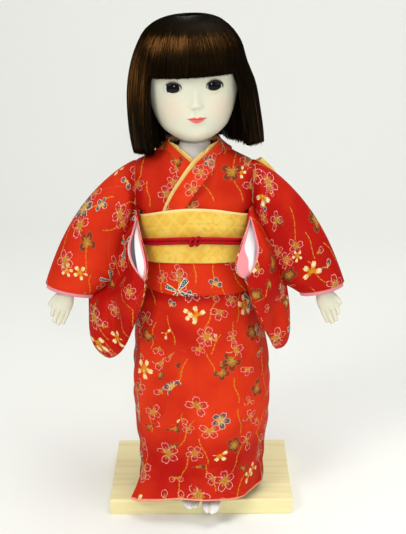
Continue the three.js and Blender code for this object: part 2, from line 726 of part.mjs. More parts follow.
// The foot runs forward from the heel; extra is the sock's offset
function footSolid(extra) {
  const stations = [
    { at: -foot.heel, half: foot.heelHalf, high: foot.heelHeight * 0.75 },
    { at: -foot.heel * 0.55, half: foot.ankleHalf, high: foot.heelHeight },
    { at: foot.toe * 0.07, half: foot.ankleHalf, high: foot.height },
    { at: foot.toe * 0.32, half: foot.halfWidth, high: foot.height * 0.82 },
    { at: foot.toe * 0.64, half: foot.halfWidth, high: foot.toeHeight * 1.6 },
    { at: foot.toe * 0.9, half: foot.halfWidth * 0.8, high: foot.toeHeight },
    { at: foot.toe, half: foot.halfWidth * 0.36, high: foot.toeHeight * 0.55 },
  ];
  const sole = gap + foot.cloth - extra;
  const rings = stations.map((s, i) => {
    const push = i === 0 ? -extra : i === stations.length - 1 ? extra : 0;
    const high = Math.max(s.high + gap + foot.cloth + extra, sole + 1);
    return ringOf(facets.limb, (angle) => {
      const c = Math.cos(angle);
      const level = Math.sin(angle) * 0.5 + 0.5;
      const across = (s.half + extra) * Math.sign(c) * Math.abs(c) ** 0.7;
      return vec(across, -s.at - push, lerp(sole, high, level ** 0.85));
    });
  });
  return loft(rings);
}

// The sock covers the foot up to the ankle, with a slit between the toes
function sock(side, legBody) {
  const upright = (from, to, radius) => rod(vec(0, 0, from), vec(0, 0, to), radius, facets.limb);
  const room = leg.ankle + sockAnkle.room;
  const ankle = upright(foot.heelHeight, sockAnkle.top, room + sockAnkle.wall);
  const throat = upright(foot.heelHeight - sockAnkle.overlap, sockAnkle.top + 1, room);
  const slitX = -side * toeSlit.offset;
  const slit = box(
    vec(slitX - toeSlit.width / 2, -foot.toe - 2, -1),
    vec(slitX + toeSlit.width / 2, -foot.toe + toeSlit.depth, foot.toeHeight * 2),
  );
  const whole = cut(join(footSolid(foot.cloth), ankle), footSolid(gap), throat, slit);
  return geometryOf(cut(atAnkle(side, whole), legBody));
}

// Arms

const bossInner = yoke.armX - shoulder.pinGrip - shoulder.bossPlay; // where an arm's boss meets the torso

function handAxis(side) {
  const lean = degrees(hand.lean);
  const forward = degrees(hand.forward);
  return vec(side * Math.sin(lean), -Math.sin(forward), -Math.cos(lean)).normalize();
}

const wristPoint = (side) => vec(upperX + side * wrist.x, wrist.y, wrist.z);

// The boss turns on the pin inside the yoke; outside it the arm bends down to the wrist
function armSolid(side) {
  const bossEnd = yoke.armX + gap;
  const across = (from, to, radius, count) =>
    rod(vec(upperX + side * from, 0, shoulder.z), vec(upperX + side * to, 0, shoulder.z), radius, count);
  const boss = across(bossInner + gap, bossEnd + 1, shoulder.bossRadius, 20);
  const start = vec(upperX + side * (bossEnd + 3), 0, shoulder.z - arm.drop);
  const end = wristPoint(side);
  const bend = start.clone().lerp(end, 0.5).add(vec(side * arm.elbowOut, arm.elbowBack, arm.elbowUp));
  const curve = new THREE.QuadraticBezierCurve3(start, bend, end);
  const rings = steps(0, 1, 7).map((share) => {
    const centre = curve.getPoint(share);
    const radius = share < 0.5
      ? lerp(arm.shoulderRadius, arm.elbowRadius, share * 2)
      : lerp(arm.elbowRadius, arm.wristRadius, share * 2 - 1);
    const axis = curve.getTangent(share).lerp(handAxis(side), share ** 3).normalize();
    const front = vec(0, -1, 0).addScaledVector(axis, axis.y).normalize();
    const out = front.clone().cross(axis).normalize();
    return ringOf(facets.limb, (angle) => {
      const ahead = centre.clone().addScaledVector(front, radius * Math.cos(angle));
      return ahead.addScaledVector(out, radius * Math.sin(angle));
    });
  });
  const pegBore = rod(
    end.clone().addScaledVector(handAxis(side), -handPeg.length + handPeg.embed - gap),
    end.clone().addScaledVector(handAxis(side), 4), handPeg.diameter / 2 + gap,
  );
  const { inner, outer } = shoulderPinLine(side);
  const pinBore = rod(inner, outer.clone().add(vec(side * 1, 0, 0)), shoulder.pinDiameter / 2 + gap);
  const headSeat = yoke.armX - shoulder.headThickness - gap;
  const headBore = across(headSeat, yoke.armX + shoulder.bossRadius + 3, shoulder.pinHead / 2 + gap);
  return cut(join(boss, loft(rings)), pegBore, pinBore, headBore);
}

function shoulderPin(side) {
  const { inner, outer } = shoulderPinLine(side);
  const shank = rod(inner, outer, shoulder.pinDiameter / 2);
  const head = rod(vec(outer.x - side * shoulder.headThickness, 0, shoulder.z), outer, shoulder.pinHead / 2);
  return geometryOf(join(shank, head));
}

// The hand in its own frame points down; a frame turns it to the wrist's axis
function handFrame(side) {
  const frame = new THREE.Group();
  frame.position.copy(wristPoint(side)).addScaledVector(handAxis(side), gap);
  frame.quaternion.setFromUnitVectors(vec(0, 0, -1), handAxis(side));
  return frame;
}

// A finger with a rounded end
function fingerSolid(root, tip, radius) {
  const rings = [[0, 1], [0.5, 0.98], [0.86, 0.85], [1, 0.4]].map(([share, size]) =>
    ringOf(facets.finger, (angle) => {
      const round = vec(radius * size * Math.cos(angle), radius * size * Math.sin(angle), 0);
      return root.clone().lerp(tip, share).add(round);
    }),
  );
  return loft(rings);
}

function handGeometry(side) {
  const stations = [
    { z: 0, half: hand.wristRadius, thick: hand.wristRadius },
    { z: -hand.heel, half: hand.wristRadius, thick: hand.wristRadius * 0.9 },
    { z: -hand.heel - hand.palm * 0.3, half: hand.palmHalf * 0.85, thick: hand.palmThick },
    { z: -hand.heel - hand.palm * 0.65, half: hand.palmHalf, thick: hand.palmThick * 0.85 },
    { z: -hand.heel - hand.palm, half: hand.palmHalf * 0.92, thick: hand.palmThick * 0.6 },
  ];
  const palm = loft(stations.map((s) => ringOf(facets.limb, (angle) =>
    vec(s.half * Math.cos(angle), s.thick * Math.sin(angle), s.z))));
  const spread = hand.palmHalf * 2 - hand.fingerRadius * 2;
  const fingers = [0, 1, 2, 3].map((i) => {
    const share = i / 3 - 0.5;
    const length = hand.finger * (1 - 0.28 * (Math.abs(share + 0.1) * 2) ** 2);
    const root = vec(spread * share, 0, hand.heel * -0.4 - hand.palm);
    const tip = vec(spread * share, 1.5 * hand.fingerRadius, root.z - length);
    return fingerSolid(root, tip, hand.fingerRadius);
  });
  const thumbRoot = vec(side * hand.palmHalf * 0.7, 0, hand.thumbZ);
  const thumbX = side * (hand.palmHalf + hand.thumbOut);
  const thumbTip = vec(thumbX, -hand.thumbForward, hand.thumbZ - hand.thumbLength);
  const thumb = fingerSolid(thumbRoot, thumbTip, hand.fingerRadius * 1.2);
  const pegSeat = rod(vec(0, 0, 1), vec(0, 0, -handPeg.embed - gap), handPeg.diameter / 2 + gap);
  return geometryOf(cut(join(palm, thumb, ...fingers), pegSeat));
}

function handPegGeometry() {
  const bottom = -handPeg.embed;
  return geometryOf(rod(vec(0, 0, bottom), vec(0, 0, bottom + handPeg.length), handPeg.diameter / 2));
}

// Sleeves: a tube along the arm and a bag that hangs below it

function sleeveTube(side, inset, overrun) {
  const ringAt = (share, push) => {
    const centre = vec(
      lerp(yoke.armX + gap, cuff.x, share), lerp(0, cuff.y, share), lerp(sleeveHead.z, cuff.z, share),
    );
    const turn = degrees(lerp(0, 90 - cuff.tilt, share));
    const up = vec(Math.sin(turn), 0, Math.cos(turn));
    const ahead = vec(Math.cos(turn), 0, -Math.sin(turn));
    const bulge = (sleeveHead.bulge / 2) * Math.sin(Math.PI * share ** 0.8);
    const high = lerp(sleeveHead.halfHeight, cuff.halfWidth, share) + bulge - inset;
    centre.addScaledVector(up, bulge);
    const deep = lerp(sleeveHead.halfDepth, cuff.halfDepth, share) - inset;
    return ringOf(facets.sleeve, (angle) => {
      const p = centre.clone().addScaledVector(ahead, push).addScaledVector(up, high * Math.cos(angle));
      return vec(upperX + side * p.x, p.y + deep * Math.sin(angle), p.z);
    });
  };
  const rings = steps(0, 1, 5).map((share) => ringAt(share, 0));
  return loft(overrun ? [ringAt(0, -overrun), ...rings, ringAt(1, overrun)] : rings);
}

// Edges of the bag at one station, drawn in and lifted for its side
function bagEdges(station, draw) {
  const top = bagStations[0].z;
  const drawn = THREE.MathUtils.smoothstep(top - station.z, 0, 40) * draw.inset;
  const low = (top - station.z) / (top - bagStations[bagStations.length - 1].z);
  const z = station.z + draw.lift * low * low;
  const outer = vec(station.outer[0] - drawn, station.outer[1] - drawn * 0.4, z);
  const inner = vec(station.inner[0] - drawn * 0.7, station.inner[1] - drawn * 0.6, z);
  return { outer, inner };
}

function bagSolid(side, inset, draw) {
  const last = bagStations.length - 1;
  const rings = bagStations.map((station, i) => {
    const { outer, inner } = bagEdges(station, draw);
    const half = outer.distanceTo(inner) / 2 - inset;
    const run = inner.clone().sub(outer).normalize();
    const face = vec(-run.y, run.x, 0);
    const centre = outer.clone().add(inner).multiplyScalar(0.5);
    centre.z += i === last ? inset : i === 0 ? -inset : 0;
    return ringOf(facets.sleeve, (angle) => {
      const c = Math.cos(angle);
      const p = centre.clone().addScaledVector(run, half * Math.sign(c) * Math.abs(c) ** 0.8);
      p.addScaledVector(face, (station.thick / 2 - inset) * Math.sin(angle));
      return vec(upperX + side * p.x, p.y, p.z);
    });
  });
  return loft(rings);
}

// The slit along the inner edge of the bag
function furiSolid(side, draw) {
  const edge = bagStations.map((station) => {
    const { x, y, z } = bagEdges(station, draw).inner;
    return { z: -z, x, y };
  });
  const spots = [furi.top, lerp(furi.top, furi.bottom, 0.5), furi.bottom].map((z) =>
    vec(upperX + side * along(edge, -z, "x"), along(edge, -z, "y"), z),
  );
  const upper = rod(spots[0], spots[1], furi.radius * 0.6, facets.rod, furi.radius);
  return join(upper, rod(spots[1], spots[2], furi.radius));
}

function sleeveShell(side, outset, wall, draw) {
  const outside = join(sleeveTube(side, outset, 0), bagSolid(side, outset, draw));
  const deep = outset + wall;
  const inside = join(sleeveTube(side, deep, 1), bagSolid(side, deep, draw));
  const face = side * (yoke.armX + gap);
  const far = -side * sleeveSeam.reach;
  const seam = box(
    vec(upperX + Math.min(face, far), sleeveSeam.front, sleeveSeam.bottom),
    vec(upperX + Math.max(face, far), sleeveSeam.reach, sleeveSeam.bottom + sleeveSeam.reach),
  );
  return main(cut(outside, inside, furiSolid(side, draw), seam));
}

// Head

function headAxis() {
  const frame = headFrame();
  return vec(0, 0, 1).applyQuaternion(frame.quaternion);
}

function headFrame() {
  const frame = new THREE.Group();
  frame.position.set(neck.x, neck.y, neck.z);
  frame.rotation.set(0, degrees(neck.tilt), degrees(neck.turn), "YZX");
  return frame;
}

// A closed form of revolution with its own front and back depth at each height
function headForm(stations, top, extra, count, bump = () => 0) {
  const low = stations[0].z;
  const high = stations[stations.length - 1].z;
  const heights = steps(low, high, 10);
  const rings = heights.map((z) => ringOf(count, (angle) => {
    const halfWidth = along(stations, z, "halfWidth") + extra;
    const depth = along(stations, z, Math.sin(angle) < 0 ? "front" : "back") + extra;
    const x = halfWidth * Math.cos(angle);
    const y = depth * Math.sin(angle);
    return vec(x, y - bump(x, y, z), z);
  }));
  const tip = top + extra;
  const last = rings[rings.length - 1];
  const dome = [0.72, 0.38].map((share) =>
    last.map((p) => vec(p.x * share, p.y * share, lerp(tip, p.z, share ** 2.2))));
  return loft([...rings, ...dome, last.map((p) => vec(p.x * 0.08, p.y * 0.08, tip))]);
}

function noseBump(x, y, z) {
  if (y > 0) return 0;
  const slope = z > nose.z ? nose.length : nose.length * 0.42;
  return nose.height * Math.exp(-((x / nose.halfWidth) ** 2) - ((z - nose.z) / slope) ** 2);
}

const neckRod = (from, to, radius, count) => rod(vec(0, 0, from), vec(0, 0, to), radius, count);
const eyeBall = (side, extra) => ball(eye.radius + extra, vec(eye.middle + side * eye.x, eye.y, eye.z));

function skullSolid(extra) {
  const skull = headForm(headStations, headTop, extra, facets.head, noseBump);
  const throatTop = headStations[2].z;
  return join(skull, neckRod(-neck.socketDepth, throatTop, neck.radius + extra, 24));
}

function headGeometry() {
  const dowelSeat = neckRod(-neck.socketDepth - 1, neck.dowelDepth + gap, neck.dowel / 2 + gap);
  return geometryOf(cut(skullSolid(0), dowelSeat, eyeBall(-1, gap), eyeBall(1, gap)));
}

function neckDowel() {
  return geometryOf(neckRod(-neck.socketDepth - neck.dowelDepth, neck.dowelDepth, neck.dowel / 2));
}

const eyeGeometry = (side) => geometryOf(eyeBall(side, 0));

function hairWhole() {
  const outside = headForm(hairStations, hairTop, 0, facets.hair);
  const under = hairStations.filter((s) => s.z <= hairLayer.hollowTop).map((s) => ({
    z: s.z,
    halfWidth: s.halfWidth - hairLayer.thickness,
    front: s.front - hairLayer.thickness,
    back: s.back - hairLayer.thickness,
  }));
  under[0].z -= 1;
  const hollow = loft(under.map((s) => ringOf(facets.hair, (angle) =>
    vec(s.halfWidth * Math.cos(angle), (Math.sin(angle) < 0 ? s.front : s.back) * Math.sin(angle), s.z))));
  const window = box(
    vec(-faceWindow.halfWidth, -faceWindow.reach, hairStations[0].z - 2),
    vec(faceWindow.halfWidth, -faceWindow.depth, fringe.bottom),
  );
  return cut(outside, hollow, skullSolid(gap), window, eyeBall(-1, gap), eyeBall(1, gap));
}

const fringeRegion = (play) => box(
  vec(-fringe.halfWidth - play, -faceWindow.reach, fringe.bottom - 1 - play),
  vec(fringe.halfWidth + play, -fringe.depth + play, hairTop + 1),
);

// Stand

function displayBoard() {
  const { width, depth, thickness, bevel } = board;
  const half = { x: width / 2 - bevel, y: depth / 2 - bevel };
  const outline = new THREE.Shape([
    new THREE.Vector2(-half.x, -half.y), new THREE.Vector2(half.x, -half.y),
    new THREE.Vector2(half.x, half.y), new THREE.Vector2(-half.x, half.y),
  ]);
  const slab = new THREE.ExtrudeGeometry(outline, {
    depth: thickness - 2 * bevel, bevelThickness: bevel, bevelSize: bevel, bevelSegments: 1,
  });
  slab.translate(0, board.centreY, bevel - thickness);
  const hole = postRod(-post.seatDepth - gap, 1, post.diameter / 2 + gap);
  return geometryOf(cut(solidOf(slab), hole));
}

function supportPost() {
  const radius = post.diameter / 2;
  const profile = [
    new THREE.Vector2(0, -post.seatDepth), new THREE.Vector2(radius, -post.seatDepth),
    new THREE.Vector2(radius, postTop - post.bevel), new THREE.Vector2(radius - post.bevel, postTop),
    new THREE.Vector2(0, postTop),
  ];
  const geometry = new THREE.LatheGeometry(profile, facets.rod);
  geometry.rotateX(Math.PI / 2).translate(post.x, post.y, 0);
  return geometryOf(solidOf(geometry));
}

// Assembly

const colour = {
  wood: 0xe9dcae, steel: 0xb9bcc0, composition: 0xb79a78, shell: 0xf6efe2, cotton: 0xf2eee6, robe: 0xf4ece8,
  kimono: 0xd3200f, gold: 0xe5b53a, cord: 0xc4142c, card: 0xcfc3a4, hair: 0x2a160c, glass: 0x120c0a,
  lining: 0xf3e2e2,
};
const finish = {
  wood: 0.6, steel: 0.3, shell: 0.45, cloth: 0.85, brocade: 0.55, hair: 0.4, glass: 0.05, composition: 0.8,
};

function standGroup() {
  const group = new THREE.Group();
  group.add(
    meshOf("base_board", displayBoard(), colour.wood, finish.wood),
    meshOf("support_post", supportPost(), colour.steel, finish.steel, 1),
  );
  return group;
}

function bodyGroup() {
  const group = new THREE.Group();
  group.add(
    meshOf("torso", torso(), colour.composition, finish.composition),
    meshOf("waist_padding", waistPadding(), colour.cotton, finish.cloth),
    meshOf("under_robe", underRobe(), colour.robe, finish.cloth),
    meshOf("under_collar", underCollar(), colour.gold, finish.cloth),
    meshOf("kimono_skirt", kimonoSkirt(), colour.kimono, finish.cloth),
    meshOf("kimono_bodice", kimonoBodice(), colour.kimono, finish.cloth),
    meshOf("kimono_collar", kimonoCollar(), colour.kimono, finish.cloth),
    meshOf("obi_card", obiCard(), colour.card, finish.cloth),
    meshOf("obi_sash", obiSash(), colour.gold, finish.brocade),
    meshOf("obi_cord", geometryOf(main(cut(cordSolid(), knotSolid(gap)))), colour.cord, finish.cloth),
    meshOf("obi_cord_knot", geometryOf(knotSolid(0)), colour.cord, finish.cloth),
  );
  const frame = bowFrame();
  frame.add(
    meshOf("bow_upper_loop", bowLoop(1), colour.gold, finish.brocade),
    meshOf("bow_lower_loop", bowLoop(-1), colour.gold, finish.brocade),
    meshOf("bow_band", bowBand(), colour.gold, finish.brocade),
  );
  group.add(frame, meshOf("bow_hook", bowHookGeometry(), colour.steel, finish.steel, 1));
  for (const side of [-1, 1]) {
    const name = side < 0 ? "right" : "left"; // the doll's own right is at -X
    const legBody = legSolid(side);
    group.add(
      meshOf(`leg_${name}`, geometryOf(legBody), colour.shell, finish.shell),
      meshOf(`tabi_sock_${name}`, sock(side, legBody), colour.cotton, finish.cloth),
      meshOf(`shoulder_pin_${name}`, shoulderPin(side), colour.steel, finish.steel, 1),
    );
  }
  return group;
}

function armGroup(side) {
  const group = new THREE.Group();
  const name = side < 0 ? "right" : "left";
  const frame = handFrame(side);
  frame.add(
    meshOf(`hand_${name}`, handGeometry(side), colour.shell, finish.shell),
    meshOf(`hand_peg_${name}`, handPegGeometry(), colour.wood, finish.wood),
  );
  const outside = sleeveShell(side, 0, cloth.sleeve, bagDraw[name]);
  const lining = sleeveShell(side, cloth.sleeve + gap, cloth.lining, bagDraw[name]);
  group.add(
    meshOf(`arm_${name}`, geometryOf(armSolid(side)), colour.cotton, finish.cloth),
    meshOf(`sleeve_${name}`, geometryOf(outside), colour.kimono, finish.cloth),
    meshOf(`sleeve_lining_${name}`, geometryOf(lining), colour.lining, finish.cloth),
    frame,
  );
  return group;
}

function headGroup() {
  const group = headFrame();
  const hair = hairWhole();
  group.add(
    meshOf("head", headGeometry(), colour.shell, finish.shell),
    meshOf("neck_dowel", neckDowel(), colour.wood, finish.wood),
    meshOf("eye_right", eyeGeometry(-1), colour.glass, finish.glass),
    meshOf("eye_left", eyeGeometry(1), colour.glass, finish.glass),
    meshOf("hair_bob", geometryOf(cut(hair, fringeRegion(gap))), colour.hair, finish.hair),
    meshOf("hair_fringe", geometryOf(hair.intersect(fringeRegion(0))), colour.hair, finish.hair),
  );
  return group;
}

const doll = new THREE.Group();
doll.position.z = board.thickness; // the doll and the post are measured from the board's top
doll.add(standGroup(), bodyGroup(), armGroup(-1), armGroup(1), headGroup());

export default new THREE.Group().add(doll);
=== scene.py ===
import math

import bmesh
import bpy
import numpy as np
from mathutils import Matrix, Vector


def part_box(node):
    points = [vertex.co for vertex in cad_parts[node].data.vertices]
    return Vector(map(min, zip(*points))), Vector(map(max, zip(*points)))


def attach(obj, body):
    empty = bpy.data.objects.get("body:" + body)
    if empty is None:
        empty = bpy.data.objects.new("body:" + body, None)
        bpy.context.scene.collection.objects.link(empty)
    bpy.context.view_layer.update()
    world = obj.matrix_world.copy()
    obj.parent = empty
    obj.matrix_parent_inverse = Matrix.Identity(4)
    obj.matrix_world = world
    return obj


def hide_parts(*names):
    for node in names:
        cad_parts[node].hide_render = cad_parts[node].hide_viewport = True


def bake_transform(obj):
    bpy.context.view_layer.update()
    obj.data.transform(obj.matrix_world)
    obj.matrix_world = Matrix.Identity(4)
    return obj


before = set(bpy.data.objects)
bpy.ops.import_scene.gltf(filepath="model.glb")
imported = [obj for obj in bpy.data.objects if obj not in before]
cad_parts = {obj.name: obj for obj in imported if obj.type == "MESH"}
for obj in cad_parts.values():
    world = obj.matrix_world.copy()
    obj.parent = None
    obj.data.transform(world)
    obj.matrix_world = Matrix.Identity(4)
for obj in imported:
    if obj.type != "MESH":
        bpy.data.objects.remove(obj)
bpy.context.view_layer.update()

# Lengths are millimetres in the doll's own frame (height from the board's top) until a mesh is made.
mm = 0.001
fullTurn = 2 * math.pi
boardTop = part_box("base_board")[1].z / mm
scene = bpy.context.scene
print("frame loaded, board top at", round(boardTop, 2), "mm")


# numbers

def ease(x, low=0.0, high=1.0):  # smooth step from 0 at low to 1 at high
    t = np.clip((np.asarray(x, float) - low) / (high - low), 0, 1)
    return t * t * (3 - 2 * t)


def bell(x, width):  # exp of minus the squared distance in widths
    return np.exp(-((np.asarray(x, float) / width) ** 2))


def lerp(a, b, share):
    return a + (b - a) * share


def signedPower(x, power):
    return np.sign(x) * np.abs(x) ** power


def through(knots, values, at):  # cubic through the knots; each slope is that of the two neighbours
    knots, values = np.asarray(knots, float), np.asarray(values, float)
    k, v = np.pad(knots, 1, mode="edge"), np.pad(values, 1, mode="edge")
    slope = (v[2:] - v[:-2]) / (k[2:] - k[:-2])
    i = np.clip(np.searchsorted(knots, at, side="right") - 1, 0, len(knots) - 2)
    span = knots[i + 1] - knots[i]
    t = np.clip((at - knots[i]) / span, 0, 1)
    rise = values[i] * (2 * t**3 - 3 * t**2 + 1) + slope[i] * span * (t**3 - 2 * t**2 + t)
    return rise + values[i + 1] * (3 * t**2 - 2 * t**3) + slope[i + 1] * span * (t**3 - t**2)


def ripples(u, v, seed, wave, count=9):  # sum of plane waves of random heading, about 1 high
    draw = np.random.default_rng(seed)
    headings, phases = draw.uniform(0, fullTurn, count), draw.uniform(0, fullTurn, count)
    total = 0
    for heading, phase, pace in zip(headings, phases, draw.uniform(0.7, 1.5, count)):
        total = total + np.sin(fullTurn * pace * (u * np.cos(heading) + v * np.sin(heading)) / wave + phase)
    return total / math.sqrt(count / 2)


def roundTurn(count):  # angles at even steps round a full turn
    return np.linspace(0, fullTurn, count, endpoint=False)


def stacked(*coordinates):  # one array of points from the arrays of their coordinates
    return np.stack(np.broadcast_arrays(*coordinates), -1)


def unit(v):
    return v / np.maximum(np.linalg.norm(v, axis=-1, keepdims=True), 1e-12)


# meshes

def grid(points, wrap=False, uv=None, **tags):  # quads between the rows and columns of a grid of points
    rows, cols = points.shape[:2]
    i = np.arange(rows - 1)[:, None]
    j = np.arange(cols if wrap else cols - 1)[None, :]
    k = (j + 1) % cols
    faces = np.stack([i * cols + j, i * cols + k, (i + 1) * cols + k, (i + 1) * cols + j], -1).reshape(-1, 4)
    if uv is None:
        uv = np.zeros((rows, cols + 1, 2))
    wide = uv.shape[1]
    jj = np.broadcast_to(j, (rows - 1, j.shape[1]))
    first = i * wide + jj
    corners = np.stack([first, first + 1, first + wide + 1, first + wide], -1)
    part = {"co": points.reshape(-1, 3), "faces": faces, "uv": uv.reshape(-1, 2)[corners.reshape(-1)]}
    part["tags"] = {name: np.broadcast_to(value, (rows, cols)).reshape(-1) for name, value in tags.items()}
    return part


def joined(*parts):
    starts = np.cumsum([0] + [len(p["co"]) for p in parts])
    names = {name for p in parts for name in p["tags"]}
    blank = [np.zeros(len(p["co"])) for p in parts]
    return {
        "co": np.concatenate([p["co"] for p in parts]),
        "faces": np.concatenate([p["faces"] + s for p, s in zip(parts, starts)]),
        "uv": np.concatenate([p["uv"] for p in parts]),
        "tags": {n: np.concatenate([p["tags"].get(n, b) for p, b in zip(parts, blank)]) for n in names},
    }


def closedLoft(rings, **tags):  # rings of points with both ends drawn to their middle
    ends = [np.broadcast_to(r.mean(0), r.shape)[None] for r in (rings[0], rings[-1])]
    return grid(np.concatenate([ends[0], rings, ends[1]]), wrap=True, **tags)


def inMetres(points):  # from the doll's frame to the object's, as a flat list
    return ((points + np.array([0, 0, boardTop])) * mm).astype(np.float32).ravel()


def setTag(mesh, name, values):  # a value at each point, which a finish can read
    mesh.attributes.new(name, "FLOAT", "POINT").data.foreach_set("value", values.astype(np.float32))


def shadeSmooth(mesh):
    mesh.polygons.foreach_set("use_smooth", np.ones(len(mesh.polygons), bool))


def meshOf(name, part, weld=0.0):
    mesh = bpy.data.meshes.new(name)
    mesh.vertices.add(len(part["co"]))
    mesh.vertices.foreach_set("co", inMetres(part["co"]))
    faces = part["faces"].astype(np.int32)
    mesh.loops.add(faces.size)
    mesh.loops.foreach_set("vertex_index", faces.ravel())
    mesh.polygons.add(len(faces))
    mesh.polygons.foreach_set("loop_start", np.arange(0, faces.size, 4, dtype=np.int32))
    mesh.uv_layers.new(name="UVMap").data.foreach_set("uv", (part["uv"] * mm).astype(np.float32).ravel())
    for tag, values in part["tags"].items():
        setTag(mesh, tag, values)
    mesh.update(calc_edges=True)
    mesh.validate()
    if weld:
        work = bmesh.new()
        work.from_mesh(mesh)
        bmesh.ops.remove_doubles(work, verts=work.verts, dist=weld * mm)
        work.to_mesh(mesh)
        work.free()
    shadeSmooth(mesh)
    return mesh


def linked(name, data):
    obj = bpy.data.objects.new(name, data)
    scene.collection.objects.link(obj)
    return obj


def newPiece(name, part, weld=0.0):
    return linked(name, meshOf(name, part, weld))


def settled(obj):  # the mesh with its modifiers worked in
    bpy.context.view_layer.update()
    graph = bpy.context.evaluated_depsgraph_get()
    shaped = obj.evaluated_get(graph)
    mesh = bpy.data.meshes.new_from_object(shaped, preserve_all_data_layers=True, depsgraph=graph)
    obj.modifiers.clear()
    obj.data = mesh


def wall(obj, thick, offset=-1, inside=0, rim=0):  # gives a sheet its thickness
    solid = obj.modifiers.new("wall", "SOLIDIFY")
    solid.thickness = thick * mm
    solid.offset = offset
    solid.material_offset = inside
    solid.material_offset_rim = rim


def dress(obj, body, slot, materials, *nodes):  # materials, body, finish (not used) and the solids that it stands for
    for material in materials:
        obj.data.materials.append(material)
    if body:
        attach(obj, body)
    if nodes:
        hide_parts(*nodes)


def fused(name, parts, voxel, smoothing, factor=0.5):  # closed forms run together into one skin
    obj = newPiece(name, joined(*parts), weld=0.001)
    remesh = obj.modifiers.new("fuse", "REMESH")
    remesh.mode = "VOXEL"
    remesh.voxel_size = voxel * mm
    smooth = obj.modifiers.new("soften", "SMOOTH")
    smooth.iterations = smoothing
    smooth.factor = factor
    settled(obj)
    shadeSmooth(obj.data)
    return obj


def without(obj, gone):  # drops the marked points and the faces on them
    work = bmesh.new()
    work.from_mesh(obj.data)
    work.verts.ensure_lookup_table()
    bmesh.ops.delete(work, geom=[work.verts[i] for i in np.flatnonzero(gone)], context="VERTS")
    work.to_mesh(obj.data)
    work.free()


def meshPoints(obj):
    points = np.empty(len(obj.data.vertices) * 3, np.float32)
    obj.data.vertices.foreach_get("co", points)
    return points.reshape(-1, 3) / mm - np.array([0, 0, boardTop])


def setPoints(obj, points):
    obj.data.vertices.foreach_set("co", inMetres(points))
    obj.data.update()


def setCoords(obj, uv):  # surface coordinates in millimetres, one pair for each point
    corner = np.empty(len(obj.data.loops), np.int32)
    obj.data.loops.foreach_get("vertex_index", corner)
    layer = obj.data.uv_layers.new(name="UVMap")
    layer.data.foreach_set("uv", (uv[corner] * mm).astype(np.float32).ravel())


def tubeRings(path, sizes, count, up=(0.0, 0.0, 1.0)):  # an oval carried along a path: sizes are (across, up)
    path, sizes = np.asarray(path, float), np.asarray(sizes, float)
    ahead = unit(np.gradient(path, axis=0))
    side = unit(np.cross(ahead, np.asarray(up, float)))
    over = np.cross(side, ahead)
    a = roundTurn(count)
    ring = side[:, None] * (sizes[:, :1, None] * np.cos(a)[None, :, None])
    return path[:, None] + ring + over[:, None] * (sizes[:, 1:, None] * np.sin(a)[None, :, None])


def bezier(points, share):  # quadratic curve through its end points
    a, b, c = (np.asarray(p, float) for p in points)
    t = np.asarray(share, float)[:, None]
    return a * (1 - t) ** 2 + 2 * b * t * (1 - t) + c * t**2


# nodes

class Field:  # a value in a node tree that can be written as a formula
    def __init__(self, tree, socket):
        self.tree, self.socket = tree, socket

    def math(self, operation, *others):
        node = self.tree.nodes.new("ShaderNodeMath")
        node.operation = operation
        for socket, value in zip(node.inputs, (self, *others)):
            feed(self.tree, value, socket)
        return Field(self.tree, node.outputs[0])

    def flipped(self):  # one minus the value
        return self.math("MULTIPLY_ADD", -1.0, 1.0)

    def hill(self, width):  # exp of minus the squared distance in widths
        share = self / width
        return (share * share * -1.0).math("EXPONENT")

    def step(self, low, high):  # smooth rise from low to high
        node = self.tree.nodes.new("ShaderNodeMapRange")
        node.interpolation_type = "SMOOTHSTEP"
        for socket, value in zip(node.inputs, (self, low, high, 0.0, 1.0)):
            feed(self.tree, value, socket)
        return Field(self.tree, node.outputs[0])


def mathMethod(operation):
    return lambda self, *others: self.math(operation, *others)


fieldMethods = {
    "__add__": "ADD", "__sub__": "SUBTRACT", "__mul__": "MULTIPLY", "__truediv__": "DIVIDE",
    "__lt__": "LESS_THAN", "__gt__": "GREATER_THAN", "__abs__": "ABSOLUTE",
    "most": "MAXIMUM", "least": "MINIMUM",
    "sin": "SINE", "cos": "COSINE", "turnTo": "ARCTAN2", "fract": "FRACT", "floor": "FLOOR", "root": "SQRT",
}
for method, operation in fieldMethods.items():
    setattr(Field, method, mathMethod(operation))


def feed(tree, value, socket):
    if isinstance(value, Field):
        tree.links.new(value.socket, socket)
    elif isinstance(value, bpy.types.NodeSocket):
        tree.links.new(value, socket)
    else:
        socket.default_value = value


def add(tree, kind, settings=None, **inputs):
    node = tree.nodes.new("ShaderNode" + kind)
    for key, value in (settings or {}).items():
        setattr(node, key, value)
    for key, value in inputs.items():
        feed(tree, value, node.inputs[key.replace("_", " ")])
    return node


def split(tree, vector):
    node = add(tree, "SeparateXYZ", Vector=vector)
    return [Field(tree, s) for s in node.outputs]


def vectorMath(tree, operation, *values):
    node = add(tree, "VectorMath", {"operation": operation})
    for socket, value in zip(node.inputs, values):
        feed(tree, value, socket)
    return node.outputs[0]


def scatter(tree, place, scale, randomness):
    # one mark in each cell: the way to a point from the cell's middle, and three random values of the cell
    cells = add(tree, "TexVoronoi", {"voronoi_dimensions": "2D"}, Vector=place, Scale=scale,
                Randomness=randomness)
    x, y, _ = split(tree, vectorMath(tree, "SUBTRACT", place, cells.outputs["Position"]))
    chances = add(tree, "SeparateColor", Color=cells.outputs["Color"]).outputs
    return x, y, [Field(tree, chance) for chance in chances]


def mixed(tree, share, a, b):  # colour a where share is 0 and b where it is 1
    node = add(tree, "Mix", {"data_type": "RGBA"})
    for socket, value in zip((node.inputs[0], node.inputs[6], node.inputs[7]), (share, a, b)):
        feed(tree, (*value, 1) if isinstance(value, tuple) else value, socket)
    return node.outputs[2]


